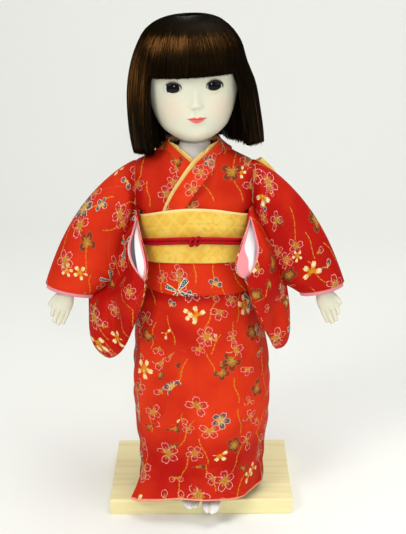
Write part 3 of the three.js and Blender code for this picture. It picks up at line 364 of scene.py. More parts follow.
def ramp(tree, share, stops, constant=False):
    node = add(tree, "ValToRGB", Fac=share)
    node.color_ramp.interpolation = "CONSTANT" if constant else "LINEAR"
    while len(node.color_ramp.elements) < len(stops):
        node.color_ramp.elements.new(0.5)
    for element, (place, colour) in zip(node.color_ramp.elements, stops):
        element.position = place
        element.color = (*colour, 1)
    return node.outputs["Color"]


def noise(tree, vector, scale, detail=3.0, rough=0.5, warp=0.0):
    node = add(tree, "TexNoise", Vector=vector, Scale=scale, Detail=detail, Roughness=rough,
               Distortion=warp)
    return Field(tree, node.outputs["Fac"])


def newGroup(name, inlets, outlets):
    tree = bpy.data.node_groups.new(name, "ShaderNodeTree")
    for label, kind in inlets.items():
        tree.interface.new_socket(label, in_out="INPUT", socket_type="NodeSocket" + kind)
    for label, kind in outlets.items():
        tree.interface.new_socket(label, in_out="OUTPUT", socket_type="NodeSocket" + kind)
    return tree, tree.nodes.new("NodeGroupInput").outputs, tree.nodes.new("NodeGroupOutput").inputs


def useGroup(tree, group, **inputs):
    node = tree.nodes.new("ShaderNodeGroup")
    node.node_tree = group
    for key, value in inputs.items():
        feed(tree, value, node.inputs[key])
    return node.outputs


def newMaterial(name, **constants):  # a principled finish; constants go straight on its sockets
    material = bpy.data.materials.new(name)
    material.use_nodes = True
    tree = material.node_tree
    shader = tree.nodes["Principled BSDF"]
    for key, value in constants.items():
        shader.inputs[key.replace("_", " ")].default_value = value
    return material, tree, shader


def bumped(tree, shader, height, strength, distance):
    node = add(tree, "Bump", Strength=strength, Distance=distance * mm, Height=height)
    tree.links.new(node.outputs["Normal"], shader.inputs["Normal"])


def surfacePlace(tree):  # the piece's own cloth coordinates, in metres
    return add(tree, "UVMap").outputs["UV"]


def objectPlace(tree):
    return add(tree, "TexCoord").outputs["Object"]


def tagField(tree, name):
    return Field(tree, add(tree, "Attribute", {"attribute_name": name}).outputs["Fac"])


# finishes

petalCount = 5
# where each kind begins in a cell's random value
blossomKinds = {"outlined": 0.0, "pale": 0.46, "blue": 0.62, "brown": 0.71, "rose": 0.84}


def makeBlossomGroup():
    # One blossom in each cell: in a petal's own axes the petal is the oval
    # ((along - 0.6) / 0.4)^2 + (across / 0.3)^2 < 1 with a notch in its tip; slim petals stand apart.
    numbers = ("Spacing", "Radius", "Share", "Fullness", "Seed")
    inlets = {"Place": "Vector", **{key: "Float" for key in numbers}}
    outlets = {"Petal": "Float", "Rim": "Float", "Stamens": "Float", "Kind": "Float"}
    tree, inlet, outlet = newGroup("blossomPrint", inlets, outlets)
    spacing, radius, share, fullness, seed = [Field(tree, inlet[key]) for key in numbers]
    shift = add(tree, "CombineXYZ", X=seed * 0.371, Y=seed * 0.719).outputs[0]
    place = vectorMath(tree, "ADD", inlet["Place"], shift)
    x, y, (kind, turn, size) = scatter(tree, place, spacing.math("POWER", -1.0), 0.72)
    r = (x * x + y * y).root() / (radius * (size * 0.4 + 0.8))
    petal = (y.turnTo(x) + turn * fullTurn + 2 * fullTurn) * (petalCount / fullTurn)
    bend = (petal.fract() - 0.5) * (fullTurn / petalCount)
    along, across = r * bend.cos(), r * bend.sin()
    slim = (kind > blossomKinds["pale"]) * (kind < blossomKinds["blue"])
    reach, wide = (along - 0.6 - slim * 0.09) / (slim * -0.11 + 0.4), across / (slim * -0.085 + 0.3)
    oval = reach * reach + wide * wide + across.hill(0.07) * along.step(0.74, 0.98) * 0.9
    seeds = add(tree, "CombineXYZ", X=petal.floor() + turn * 57.0, Y=size * 91.0).outputs[0]
    chance = add(tree, "TexWhiteNoise", {"noise_dimensions": "2D"}, Vector=seeds)
    grown = (kind * 7.31 + size * 3.77).fract() < share
    there = (Field(tree, chance.outputs["Value"]) < fullness) * grown
    line = abs(across).step(0.025, 0.05).flipped() * along.step(0.5, 0.55).flipped()
    dots = ((along - 0.5) * (along - 0.5) + across * across).root().step(0.045, 0.08).flipped()
    fork = abs(abs(bend) - 0.36).step(0.04, 0.10).flipped() * r.step(0.42, 0.48).flipped()
    pollen = noise(tree, place, 900.0, 2.0).step(0.49, 0.55) * r.step(0.28, 0.5).flipped()
    heart = r.step(0.12, 0.18).flipped() * grown
    feed(tree, oval.step(0.86, 1.0).flipped() * there, outlet["Petal"])
    feed(tree, oval.step(0.70, 0.84) * oval.step(1.02, 1.16).flipped() * there, outlet["Rim"])
    feed(tree, (line.most(dots).most(fork).most(pollen) * there).most(heart), outlet["Stamens"])
    feed(tree, kind, outlet["Kind"])
    return tree


def makeWeaveGroup():
    # warp and weft as two crossed sine waves, broken up by fine noise
    inlets = {"Place": "Vector", "Thread": "Float", "Slub": "Float"}
    tree, inlet, outlet = newGroup("weave", inlets, {"Height": "Float"})
    x, y, _ = split(tree, inlet["Place"])
    pitch = Field(tree, inlet["Thread"])
    warp, weft = (x / pitch * fullTurn).sin(), (y / pitch * fullTurn).sin()
    slub = noise(tree, inlet["Place"], 2600.0, 2.0) - 0.5
    feed(tree, warp * weft * 0.5 + slub * Field(tree, inlet["Slub"]) + 0.5, outlet["Height"])
    return tree


def makeGrainGroup():
    # straight grain along X: noise stretched a long way, with darker late wood and fine pores
    outlets = {"Dark": "Float", "Pores": "Float", "Height": "Float"}
    tree, inlet, outlet = newGroup("woodGrain", {"Place": "Vector", "Ring": "Float"}, outlets)
    ringPlace, porePlace = [add(tree, "Mapping", Vector=inlet["Place"], Scale=(along, 1.0, 1.0)).outputs[0]
                            for along in (0.045, 0.03)]
    sway, fine = noise(tree, ringPlace, 26.0, 2.0), noise(tree, ringPlace, 120.0, 2.0)
    rings = ((sway * 2.2 + fine * 0.5) * Field(tree, inlet["Ring"])).sin()
    pores = noise(tree, porePlace, 2600.0, 2.0)
    patches = noise(tree, inlet["Place"], 14.0)
    feed(tree, rings.step(0.1, 1.0) * 0.55 + pores.step(0.5, 0.75) * 0.3 + patches * 0.25, outlet["Dark"])
    feed(tree, pores, outlet["Pores"])
    feed(tree, pores.step(0.45, 0.8) * -0.6 + rings * 0.1, outlet["Height"])
    return tree


blossoms = makeBlossomGroup()
weave = makeWeaveGroup()
woodGrain = makeGrainGroup()

kimonoPrint = {
    "ground": (0.76, 0.046, 0.008), "shadowGround": (0.42, 0.0052, 0.0024),
    "stem": (0.60, 0.25, 0.018), "hem": (0.88, 0.34, 0.22),
    "spacing": 0.0215, "radius": 0.0080, "sprigSpacing": 0.0190, "sprigRadius": 0.0060,
    "stemSpacing": 0.024, "stemHalf": 0.0115, "stemWidth": 0.00030,
    "petals": [(0.36, 0.015, 0.026), (0.88, 0.78, 0.46), (0.008, 0.085, 0.095), (0.130, 0.034, 0.016),
               (0.50, 0.028, 0.024)],
    "rims": [(0.84, 0.42, 0.36), (0.86, 0.62, 0.16), (0.66, 0.70, 0.62), (0.24, 0.110, 0.036),
             (0.86, 0.40, 0.34)],
    "stamens": [(0.46, 0.25, 0.020), (0.68, 0.34, 0.012), (0.66, 0.42, 0.06), (0.46, 0.30, 0.04),
                (0.52, 0.28, 0.02)],
    "ribbonSpacing": 0.070, "ribbonLength": 0.0120, "ribbonHalf": 0.0024,
    "blades": [(0.55, 1.0), (2.5, 0.85), (-0.75, 1.1), (3.9, 0.7)],  # heading and share of the length
    "ribbonEdge": (0.80, 0.62, 0.28), "ribbon": (0.030, 0.085, 0.115), "ribbonSpots": (0.72, 0.76, 0.74),
}


def printStems(tree, place, colour, tune):
    # gold stems: a bent, broken stroke through the middle of each cell
    shifted = add(tree, "Mapping", Vector=place, Location=(0.013, 0.007, 0)).outputs[0]
    x, y, (chance, lean, _) = scatter(tree, shifted, 1 / tune["stemSpacing"], 0.8)
    tilt = (lean - 0.5) * 1.3
    across = x * tilt.cos() + y * tilt.sin() + (y * 260.0).sin() * 0.0011
    stem = abs(across).step(tune["stemWidth"], tune["stemWidth"] * 1.7).flipped()
    stem = stem * (abs(y) < tune["stemHalf"]) * ((y * 290.0).fract() < 0.82) * (chance < 0.66)
    return mixed(tree, stem * 0.85, colour, tune["stem"])


def printBlossoms(tree, place, worn, colour, tune):
    # two scatters of blossom: sprigs with petals missing, then whole flowers over them
    scatters = [(tune["sprigSpacing"], tune["sprigRadius"], 0.62, 0.62, 3.0),
                (tune["spacing"], tune["radius"], 0.74, 0.90, 11.0)]
    for spacing, radius, share, fullness, seed in scatters:
        bloom = useGroup(tree, blossoms, Place=place, Spacing=spacing, Radius=radius, Share=share,
                         Fullness=fullness, Seed=seed)
        kind = Field(tree, bloom["Kind"])
        filled = (kind > blossomKinds["pale"]) * (kind < blossomKinds["rose"])
        layers = [("Petal", "petals", filled * 0.40 + worn * 0.38 + 0.14), ("Rim", "rims", worn * 0.65 + 0.3),
                  ("Stamens", "stamens", worn * 0.3 + 0.6)]
        for mask, tints, strength in layers:
            tint = ramp(tree, kind, list(zip(blossomKinds.values(), tune[tints])), constant=True)
            colour = mixed(tree, Field(tree, bloom[mask]) * strength, colour, tint)
    return colour


def printRibbons(tree, place, colour, tune):
    # ribbon knots: four tapering blades from one point, spotted inside a gold edge
    x, y, (chance, turn, _) = scatter(tree, place, 1 / tune["ribbonSpacing"], 0.85)
    r = (x * x + y * y).root()
    heading = y.turnTo(x) + (turn - 0.5) * 1.2
    dots = add(tree, "TexVoronoi", {"voronoi_dimensions": "2D"}, Vector=place, Scale=620.0, Randomness=0.5)
    spots = Field(tree, dots.outputs["Distance"]).step(0.16, 0.28).flipped()
    for angle, reach in tune["blades"]:
        along, aside = r * (heading - angle).cos(), abs(r * (heading - angle).sin())
        share = along / (tune["ribbonLength"] * reach)
        taper = (share.most(0.0) * 1.15).least(1.0).root() * share.step(0.92, 1.0).flipped()
        half = taper * tune["ribbonHalf"]
        blade = (aside - half).step(-0.0002, 0.0001).flipped() * (along > 0.0008) * (chance < 0.62)
        core = (aside - half).step(-0.0008, -0.0005).flipped() * blade
        for mask, tint in ((blade, "ribbonEdge"), (core, "ribbon"), (core * spots, "ribbonSpots")):
            colour = mixed(tree, mask, colour, tune[tint])
    return colour


def makeKimonoCloth(tune):
    # red crepe, with painted shade where the mesh's deep tag says so, under three layers of print that waver
    # with the weave
    material, tree, shader = newMaterial("redCrepe", Roughness=0.66, Specular_IOR_Level=0.08)
    plain = surfacePlace(tree)
    wander = add(tree, "TexNoise", Vector=plain, Scale=210.0, Detail=2.0).outputs["Color"]
    place = vectorMath(tree, "MULTIPLY_ADD", wander, (0.0014, 0.0014, 0.0), plain)
    mottle = noise(tree, place, 38.0, 3.0)
    broad = noise(tree, place, 15.0, 1.0)
    grain = noise(tree, place, 1500.0, 2.0)
    tone = broad.step(0.38, 0.62) * 0.30 + mottle.step(0.3, 0.72) * 0.28 + grain.step(0.35, 0.75) * 0.18
    # painted shade: the deep tag pulls the ground towards the shadow colour
    tone = (tone + tagField(tree, "deep") * 0.6).least(1.0)
    colour = mixed(tree, tone, tune["ground"], tune["shadowGround"])
    colour = printStems(tree, place, colour, tune)
    worn = noise(tree, plain, 760.0, 2.0).step(0.36, 0.56)
    colour = printBlossoms(tree, place, worn, colour, tune)
    colour = printRibbons(tree, place, colour, tune)
    colour = mixed(tree, tagField(tree, "hem"), colour, tune["hem"])
    feed(tree, colour, shader.inputs["Base Color"])
    crinkle = noise(tree, place, 1150.0, 3.0, 0.6, 0.6)
    threads = Field(tree, useGroup(tree, weave, Place=place, Thread=0.00062, Slub=0.8)["Height"])
    bumped(tree, shader, crinkle * 0.7 + threads * 0.3, 0.55, 0.16)
    feed(tree, crinkle.step(0.2, 0.8) * 0.2 + 0.55, shader.inputs["Roughness"])
    return material


brocadeTune = {"light": (0.80, 0.50, 0.060), "dark": (0.72, 0.42, 0.040), "motif": (0.88, 0.66, 0.15),
               "twill": (0.52, 0.29, 0.03), "pale": (0.90, 0.74, 0.36), "lattice": 0.0125, "thread": 0.0005}


def makeBrocade(tune):
    # tone on tone: a slanted lattice of double lines with a large blossom in each cell
    material, tree, shader = newMaterial("goldBrocade", Roughness=0.45, Specular_IOR_Level=0.3)
    place = surfacePlace(tree)
    x, y, _ = split(tree, place)
    bloom = useGroup(tree, blossoms, Place=place, Spacing=0.017, Radius=0.0085, Share=0.9, Fullness=1.0,
                     Seed=5.0)
    motif = (Field(tree, bloom["Petal"]) * 0.8).most(Field(tree, bloom["Stamens"]))
    for heading in (1.0, -1.0):
        stripe = ((x * heading + y * 0.9) / tune["lattice"]).fract()
        broad, narrow = abs(stripe - 0.5).step(0.035, 0.075), abs(stripe - 0.36).step(0.02, 0.05)
        motif = motif.most(broad.least(narrow).flipped() * 0.75)
    twill = ((x + y * 0.35) / 0.00075).fract()
    mottle = noise(tree, place, 90.0, 3.0)
    colour = mixed(tree, mottle.step(0.3, 0.75), tune["light"], tune["dark"])
    colour = mixed(tree, motif * 0.55, colour, tune["motif"])
    colour = mixed(tree, twill.step(0.4, 0.9) * 0.22, colour, tune["twill"])
    # the pale tag: a paler tint on the under collar and the bow, and a painted highlight along the sash's top
    # edge
    colour = mixed(tree, tagField(tree, "pale"), colour, tune["pale"])
    feed(tree, colour, shader.inputs["Base Color"])
    feed(tree, motif * -0.14 + 0.5, shader.inputs["Roughness"])
    threads = Field(tree, useGroup(tree, weave, Place=place, Thread=tune["thread"], Slub=0.5)["Height"])
    bumped(tree, shader, motif * 0.8 + threads * 0.3, 0.5, 0.14)
    return material


def makePlainCloth(name, light, dark, thread, edge=None, rough=0.8, strength=0.45):
    # woven threads with a slight mottle; where the mesh has the edge tag, the edge's own colour
    material, tree, shader = newMaterial(name, Roughness=rough, Sheen_Weight=0.2, Specular_IOR_Level=0.3)
    place = surfacePlace(tree)
    threads = Field(tree, useGroup(tree, weave, Place=place, Thread=thread, Slub=0.7)["Height"])
    mottle = noise(tree, place, 130.0, 3.0)
    colour = mixed(tree, threads.step(0.25, 0.8) * 0.5 + mottle * 0.4, light, dark)
    if edge:
        colour = mixed(tree, tagField(tree, "edge").step(0.35, 0.65), colour, edge)
    feed(tree, colour, shader.inputs["Base Color"])
    feed(tree, threads * 0.15 + (rough - 0.1), shader.inputs["Roughness"])
    bumped(tree, shader, threads, strength, 0.1)
    return material


braidTune = {"hollow": (0.20, 0.001, 0.004), "ridge": (0.50, 0.005, 0.011),
             "ply": (0.0019, 0.0042), "yarn": (0.00042, 0.0015)}  # lengths along the strand and round it


def makeBraid(tune):
    # plaited cord: two slanted waves over the length and the turn round the strand
    material, tree, shader = newMaterial("crimsonBraid", Roughness=0.5, Specular_IOR_Level=0.1)
    x, y, _ = split(tree, surfacePlace(tree))
    along, around = x / tune["ply"][0], y / tune["ply"][1]
    ply = ((along + around) * fullTurn).sin().most(((along - around) * fullTurn).sin())
    fine = ((x / tune["yarn"][0] + y / tune["yarn"][1]) * fullTurn).sin()
    height = ply * 0.4 + fine * 0.12 + 0.5
    # painted shade: darker in the hollows of the plait, lighter on its ridges
    colour = mixed(tree, height.step(0.25, 0.85), tune["hollow"], tune["ridge"])
    feed(tree, colour, shader.inputs["Base Color"])
    feed(tree, height * -0.15 + 0.58, shader.inputs["Roughness"])
    bumped(tree, shader, height, 0.7, 0.25)
    return material


def makeWood(name, light, dark, ring, rough=0.5, turn=(0.0, 0.0, 0.0)):
    # the grain runs along X unless turned
    material, tree, shader = newMaterial(name, Roughness=rough, Specular_IOR_Level=0.35)
    place = add(tree, "Mapping", Vector=objectPlace(tree), Rotation=turn).outputs[0]
    grain = useGroup(tree, woodGrain, Place=place, Ring=ring)
    feed(tree, mixed(tree, grain["Dark"], light, dark), shader.inputs["Base Color"])
    feed(tree, Field(tree, grain["Pores"]) * 0.2 + (rough - 0.08), shader.inputs["Roughness"])
    bumped(tree, shader, grain["Height"], 0.3, 0.12)
    return material


skinTune = {"light": (0.69, 0.69, 0.548), "dark": (0.662, 0.652, 0.505),
            "paint": [("blush", 0.30, (0.86, 0.50, 0.36)), ("shade", 0.55, (0.50, 0.37, 0.22)),
                      ("lips", 0.92, (0.78, 0.085, 0.060)), ("lipLine", 0.8, (0.30, 0.020, 0.018)),
                      ("lash", 1.0, (0.008, 0.005, 0.005))]}


def makeSkin(tune):
    # burnished shell-white: painted lips, lash lines and a breath of colour on the cheeks come from the mesh
    material, tree, shader = newMaterial("shellWhite", Roughness=0.38, Specular_IOR_Level=0.45,
                                         Coat_Weight=0.12, Coat_Roughness=0.25, Subsurface_Weight=0.12,
                                         Subsurface_Scale=0.002, Subsurface_Radius=(1.0, 0.6, 0.4))
    place = objectPlace(tree)
    colour = mixed(tree, noise(tree, place, 70.0, 3.0).step(0.3, 0.8) * 0.5, tune["light"], tune["dark"])
    for tag, strength, tint in tune["paint"]:
        colour = mixed(tree, tagField(tree, tag) * strength, colour, tint)
    feed(tree, colour, shader.inputs["Base Color"])
    fine = noise(tree, place, 900.0, 3.0)
    rough = fine * 0.12 + 0.34 + tagField(tree, "lips") * -0.08 + tagField(tree, "lash") * 0.4
    feed(tree, rough, shader.inputs["Roughness"])
    bumped(tree, shader, fine, 0.06, 0.1)
    return material


eyeTune = {"white": (0.66, 0.66, 0.62), "iris": ((0.005, 0.003, 0.006), (0.011, 0.007, 0.010)),
           "pupil": (0.003, 0.003, 0.004)}


def makeEyeGlass(tune):
    # the mesh's iris tag rises from the white through the iris to the pupil
    material, tree, shader = newMaterial("darkEyeGlass", Roughness=0.06, Specular_IOR_Level=0.17)
    tag = tagField(tree, "iris")
    fibre = noise(tree, objectPlace(tree), 900.0, 3.0)
    colour = mixed(tree, tag.step(0.42, 0.58), tune["white"], mixed(tree, fibre, *tune["iris"]))
    feed(tree, mixed(tree, tag.step(0.75, 0.9), colour, tune["pupil"]), shader.inputs["Base Color"])
    feed(tree, fibre * 0.03 + 0.04, shader.inputs["Roughness"])
    return material


hairTune = [(0.0, (0.0014, 0.0009, 0.0003)), (0.4, (0.0050, 0.0026, 0.0006)), (0.7, (0.044, 0.0185, 0.0040)),
            (1.0, (0.230, 0.098, 0.028))]


def makeHairFibre(stops):
    # each strand has its own place on the ramp, varied by streaks along the fall
    material, tree, shader = newMaterial("glossyHair", Roughness=0.34, Specular_IOR_Level=0.045,
                                         Specular_Tint=(1.0, 0.66, 0.36, 1))
    place = add(tree, "Mapping", Vector=objectPlace(tree), Scale=(1.0, 1.0, 0.06)).outputs[0]
    streak = noise(tree, place, 620.0, 3.0)
    colour = ramp(tree, tagField(tree, "strand") * 0.7 + streak * 0.35, stops)
    feed(tree, colour, shader.inputs["Base Color"])
    feed(tree, streak * 0.16 + 0.24, shader.inputs["Roughness"])
    bumped(tree, shader, streak, 0.35, 0.1)
    return material


def makeDrawnWire(dark, light):
    # fine drawing lines along Z
    material, tree, shader = newMaterial("drawnWire", Metallic=1.0, Roughness=0.3)
    place = add(tree, "Mapping", Vector=objectPlace(tree), Scale=(1.0, 1.0, 0.04)).outputs[0]
    lines = noise(tree, place, 1800.0, 2.0)
    feed(tree, mixed(tree, lines, dark, light), shader.inputs["Base Color"])
    feed(tree, lines * 0.2 + 0.22, shader.inputs["Roughness"])
    return material


crepe = makeKimonoCloth(kimonoPrint)
brocade = makeBrocade(brocadeTune)
whiteCotton = makePlainCloth("whiteCotton", (0.86, 0.85, 0.83), (0.74, 0.73, 0.72), 0.0006)
robeCloth = makePlainCloth("whiteRobeCloth", (0.86, 0.83, 0.80), (0.78, 0.74, 0.71), 0.0005)
liningCloth = makePlainCloth("sleeveLiningCloth", (0.86, 0.82, 0.84), (0.76, 0.71, 0.74), 0.0004,
                             edge=(0.78, 0.27, 0.30), rough=0.6, strength=0.25)
pinkEdge = makePlainCloth("pinkHemCloth", (0.86, 0.36, 0.32), (0.74, 0.24, 0.22), 0.0005)
hemEdge = makePlainCloth("orangeHemCloth", (0.88, 0.40, 0.26), (0.72, 0.20, 0.12), 0.0005)
braid = makeBraid(braidTune)
boardWood = makeWood("paulowniaBoard", (0.90, 0.82, 0.45), (0.80, 0.70, 0.37), 16.0)
pegWood = makeWood("pegWood", (0.66, 0.46, 0.24), (0.46, 0.29, 0.14), 12.0, turn=(0.0, math.pi / 2, 0.0))
pressedWood = makeWood("pressedWood", (0.46, 0.32, 0.19), (0.33, 0.21, 0.12), 5.0, rough=0.8)
pasteboard = makeWood("pasteboard", (0.62, 0.55, 0.38), (0.50, 0.43, 0.28), 4.0, rough=0.85)
skin = makeSkin(skinTune)
eyeGlass = makeEyeGlass(eyeTune)
hairFibre = makeHairFibre(hairTune)
wire = makeDrawnWire((0.46, 0.47, 0.49), (0.66, 0.67, 0.69))
print("finishes made:", len(bpy.data.materials))


# camera at the photograph's place, from the fit to the board's edges

cameraFit = {"place": (7.55, -1007.7, 487.5), "pitch": 0.280, "yaw": -0.005, "roll": -0.007, "focal": 1310.6,
             "imageLongSide": 534, "sensor": 36.0, "near": 0.05, "far": 20.0}


def makeCamera(fit):
    pitch, yaw, roll = fit["pitch"], fit["yaw"], fit["roll"]
    right = np.array([math.cos(yaw), -math.sin(yaw), 0])
    level = np.array([math.sin(yaw), math.cos(yaw), 0])
    ahead = math.cos(pitch) * level - np.array([0, 0, math.sin(pitch)])
    up = np.cross(right, ahead)
    rolled = [math.cos(roll) * right + math.sin(roll) * up, -math.sin(roll) * right + math.cos(roll) * up]
    turned = np.stack([*rolled, -ahead], 1)
    lens = bpy.data.cameras.new("photoCamera")
    lens.sensor_width = fit["sensor"]
    lens.lens = fit["sensor"] * fit["focal"] / fit["imageLongSide"]
    lens.clip_start, lens.clip_end = fit["near"], fit["far"]
    camera = linked("photoCamera", lens)
    camera.matrix_world = Matrix.Translation(Vector(fit["place"]) * mm) @ Matrix(turned.tolist()).to_4x4()
    scene.camera = camera


makeCamera(cameraFit)


# floor that sweeps up behind, and soft light from the left and above

stage = {"half": 1600.0, "back": 900.0, "bend": 500.0, "height": 1500.0, "front": 2200.0,
         "floor": ((0.89, 0.895, 0.865), (0.92, 0.925, 0.895)),
         "air": (0.93, 0.95, 0.94, 1), "airStrength": 0.30}
studioLights = [  # name, place, aim, size (metres), watts, colour
    ("keyLight", (-0.8, -1.05, 1.15), (0, 0, 0.2), (0.5, 0.5), 9.0, (1.0, 0.985, 0.955)),
    ("frontLight", (0.1, -1.5, 0.45), (0, 0, 0.28), (0.8, 0.5), 1.0, (1.0, 0.985, 0.955)),
    ("eyeLight", (0.05, -1.35, 0.70), (0, 0, 0.33), (0.14, 0.14), 3.6, (1.0, 1.0, 1.0)),
    ("fillLight", (1.0, -0.9, 0.8), (0, 0, 0.2), (0.8, 0.8), 3.0, (1.0, 0.98, 0.95)),
    ("topLight", (0.4, -0.15, 1.9), (0.1, 0, 0.15), (1.8, 1.4), 22.5, (1.0, 1.0, 0.98)),
]
notMirrored = {"frontLight"}


def makeStage(s):
    # profile: flat, a quarter circle, then straight up
    a = np.linspace(0, np.pi / 2, 24)
    wallY = s["back"] + s["bend"]
    y = np.concatenate([[-s["front"], 0], s["back"] + s["bend"] * np.sin(a), [wallY]])
    z = np.concatenate([[0, 0], s["bend"] * (1 - np.cos(a)), [s["height"]]]) - boardTop
    x = np.linspace(-s["half"], s["half"], 9)
    floor = newPiece("studioFloor", grid(stacked(x[None, :], y[:, None], z[:, None])))
    material, tree, shader = newMaterial("paleFloor", Roughness=0.7, Specular_IOR_Level=0.2)
    cloud = noise(tree, objectPlace(tree), 1.6, 2.0)
    feed(tree, mixed(tree, cloud, *s["floor"]), shader.inputs["Base Color"])
    # seen from behind, the backdrop is clear, so that the object shows through it
    clear = add(tree, "MixShader", Fac=add(tree, "NewGeometry").outputs["Backfacing"])
    tree.links.new(shader.outputs[0], clear.inputs[1])
    tree.links.new(add(tree, "BsdfTransparent").outputs[0], clear.inputs[2])
    tree.links.new(clear.outputs[0], tree.nodes["Material Output"].inputs["Surface"])
    if floor.data.polygons[0].normal.z < 0:
        floor.data.flip_normals()
    floor.data.materials.append(material)
    world = bpy.data.worlds.new("studioAir")
    world.use_nodes = True
    air = world.node_tree.nodes["Background"].inputs
    air["Color"].default_value, air["Strength"].default_value = s["air"], s["airStrength"]
    scene.world = world
    scene.view_settings.view_transform = "Standard"


def addLight(name, place, aim, size, power, colour):
    lamp = bpy.data.lights.new(name, "AREA")
    lamp.shape = "RECTANGLE"
    lamp.size, lamp.size_y = size
    lamp.energy, lamp.color = power, colour
    obj = linked(name, lamp)
    heading = (Vector(aim) - Vector(place)).to_track_quat("-Z", "Y")
    obj.matrix_world = Matrix.Translation(Vector(place)) @ heading.to_matrix().to_4x4()
    obj.visible_glossy = name not in notMirrored


makeStage(stage)
for light in studioLights:
    addLight(*light)
print("camera, floor and lights set")


# the dressed trunk: an oval at each height, with the layers at fixed offsets from it

trunk = {
    "z": [8, 24, 71, 106, 140, 172, 198, 243, 256],
    "halfWidth": [49, 48, 52, 52, 48, 43, 38.5, 38.5, 36],
    "halfDepth": [49, 44, 43, 41, 38.5, 36, 32, 31, 28],
    "x": [0, 0, 0, -0.3, -1, -2, -2.8, -4, -4],
    "y": [-8, -6, -4, -2, -0.5, 0, 0, 0, 0],
}
offsets = {"underRobe": 1.3, "skirt": 3.0, "bodice": 3.0, "obi": 6.4}
upperX = trunk["x"][-1]


def trunkAt(key, z):
    return through(trunk["z"], trunk[key], z)


def trunkPoint(angle, z, extra):  # centre(z) + (halfWidth(z) + extra) cos, (halfDepth(z) + extra) sin
    x = trunkAt("x", z) + (trunkAt("halfWidth", z) + extra) * np.cos(angle)
    y = trunkAt("y", z) + (trunkAt("halfDepth", z) + extra) * np.sin(angle)
    return stacked(x, y, z)


def clothCoords(u, v, shift=(0.0, 0.0)):  # surface coordinates in millimetres
    return stacked(u + shift[0], v + shift[1])


def runningLength(points):  # length along a path, from its first point
    steps = np.linalg.norm(np.diff(points, axis=0), axis=1)
    return np.concatenate([[0], np.cumsum(steps)])


skirt = {"top": 186.0, "hem": 8.0, "outerEdge": 212.0, "wrap": 425.0, "thick": 1.0, "lap": 1.9,
         "kickReach": 12.5, "kickHeight": 34.0, "kickAngle": 213.0, "kickSpread": 24.0,
         "seamX": -4.0, "seamDepth": 1.0, "seamHalf": 1.1, "seamSlant": 0.015, "meanRadius": 50.0,
         "hip": 2.6, "hipZ": 150.0, "drape": 0.9, "hang": 0.8, "crinkle": 0.35,
         "swoops": [(2.2, 275, 30), (-4.4, 212, 16), (-2.0, 318, 24)]}  # rise of the hem, degrees, spread


def makeSkirt(s):
    # A sheet wound once and a fifth round the trunk. Its outer edge lies in front at the doll's right,
    # over its own beginning; near the hem that corner kicks out.
    turn = np.linspace(s["outerEdge"], s["outerEdge"] + s["wrap"], 380)[None, :]
    z = (s["hem"] + (s["top"] - s["hem"]) * np.linspace(0, 1, 130) ** 1.15)[:, None]
    angle = np.radians(turn)
    over = 1 - ease(turn, s["outerEdge"] + 60, s["outerEdge"] + 150)
    under = ease(turn, s["outerEdge"] + 320, s["outerEdge"] + 360)
    low = np.clip(1 - (z - s["hem"]) / s["kickHeight"], 0, 1)
    kick = s["kickReach"] * low**2 * bell((turn - s["kickAngle"]) / s["kickSpread"], 1) * over
    tight = 1 - 0.75 * ease(z, 150, 176)
    hip = s["hip"] * bell((z - s["hipZ"]) / 24, 1) * ease(-np.cos(angle), 0.5, 0.95)
    extra = offsets["skirt"] - 0.5 + s["lap"] * over * tight - 0.5 * under + kick + hip
    loose = 1 - ease(z, 120, 176)
    drape = s["drape"] * ripples(turn * 0.8, z * 0.35, 4, 75) * loose
    hang = s["hang"] * np.sin(angle * 5 + 0.7 + z * 0.004) * loose * (1 - ease(z, 8, 110))
    hang = hang + s["crinkle"] * ripples(turn, z, 8, 22) * loose
    x = trunkPoint(angle, z, extra)[..., 0]
    front = (np.sin(angle) < 0) & (turn < 360)
    seam = np.where(front, bell(x - s["seamX"] - s["seamSlant"] * (z - 90), s["seamHalf"]), 0)
    groove = seam * s["seamDepth"] * ease(z, 12, 30)
    points = trunkPoint(angle, z, extra + drape + hang - groove)
    swoop = sum(rise * bell((turn - at) / spread, 1) for rise, at, spread in s["swoops"])
    points[..., 2] += swoop * over * (1 - ease(z, 8, 48))
    uv = clothCoords(angle * s["meanRadius"], z, (13, 5))
    # painted shade: darker low down, under the waist fold and towards the sides
    atSides = ease(np.abs(np.cos(angle)), 0.75, 1.0)
    underFold = ease(z, 163, 171)
    deep = 0.75 * (1 - ease(z, 20, 85)) + 0.6 * ease(z, 112, 150) + 0.3 * atSides + 0.6 * underFold
    hem = 1 - ease(z, s["hem"] + 0.7, s["hem"] + 1.4)
    obj = newPiece("kimonoSkirt", grid(points, uv=uv, deep=deep, hem=hem))
    wall(obj, s["thick"], inside=1, rim=1)
    dress(obj, "doll_body", "kimono", [crepe, hemEdge], "kimono_skirt")


robe = {"hem": 14.0, "top": 229.0, "thick": 0.8, "inLegs": -2.6, "bibBottom": 262.0, "bibHalf": (17.5, 14.5),
        "neckX": -3.0, "neckRadius": 11.6, "neckTop": 287.0}


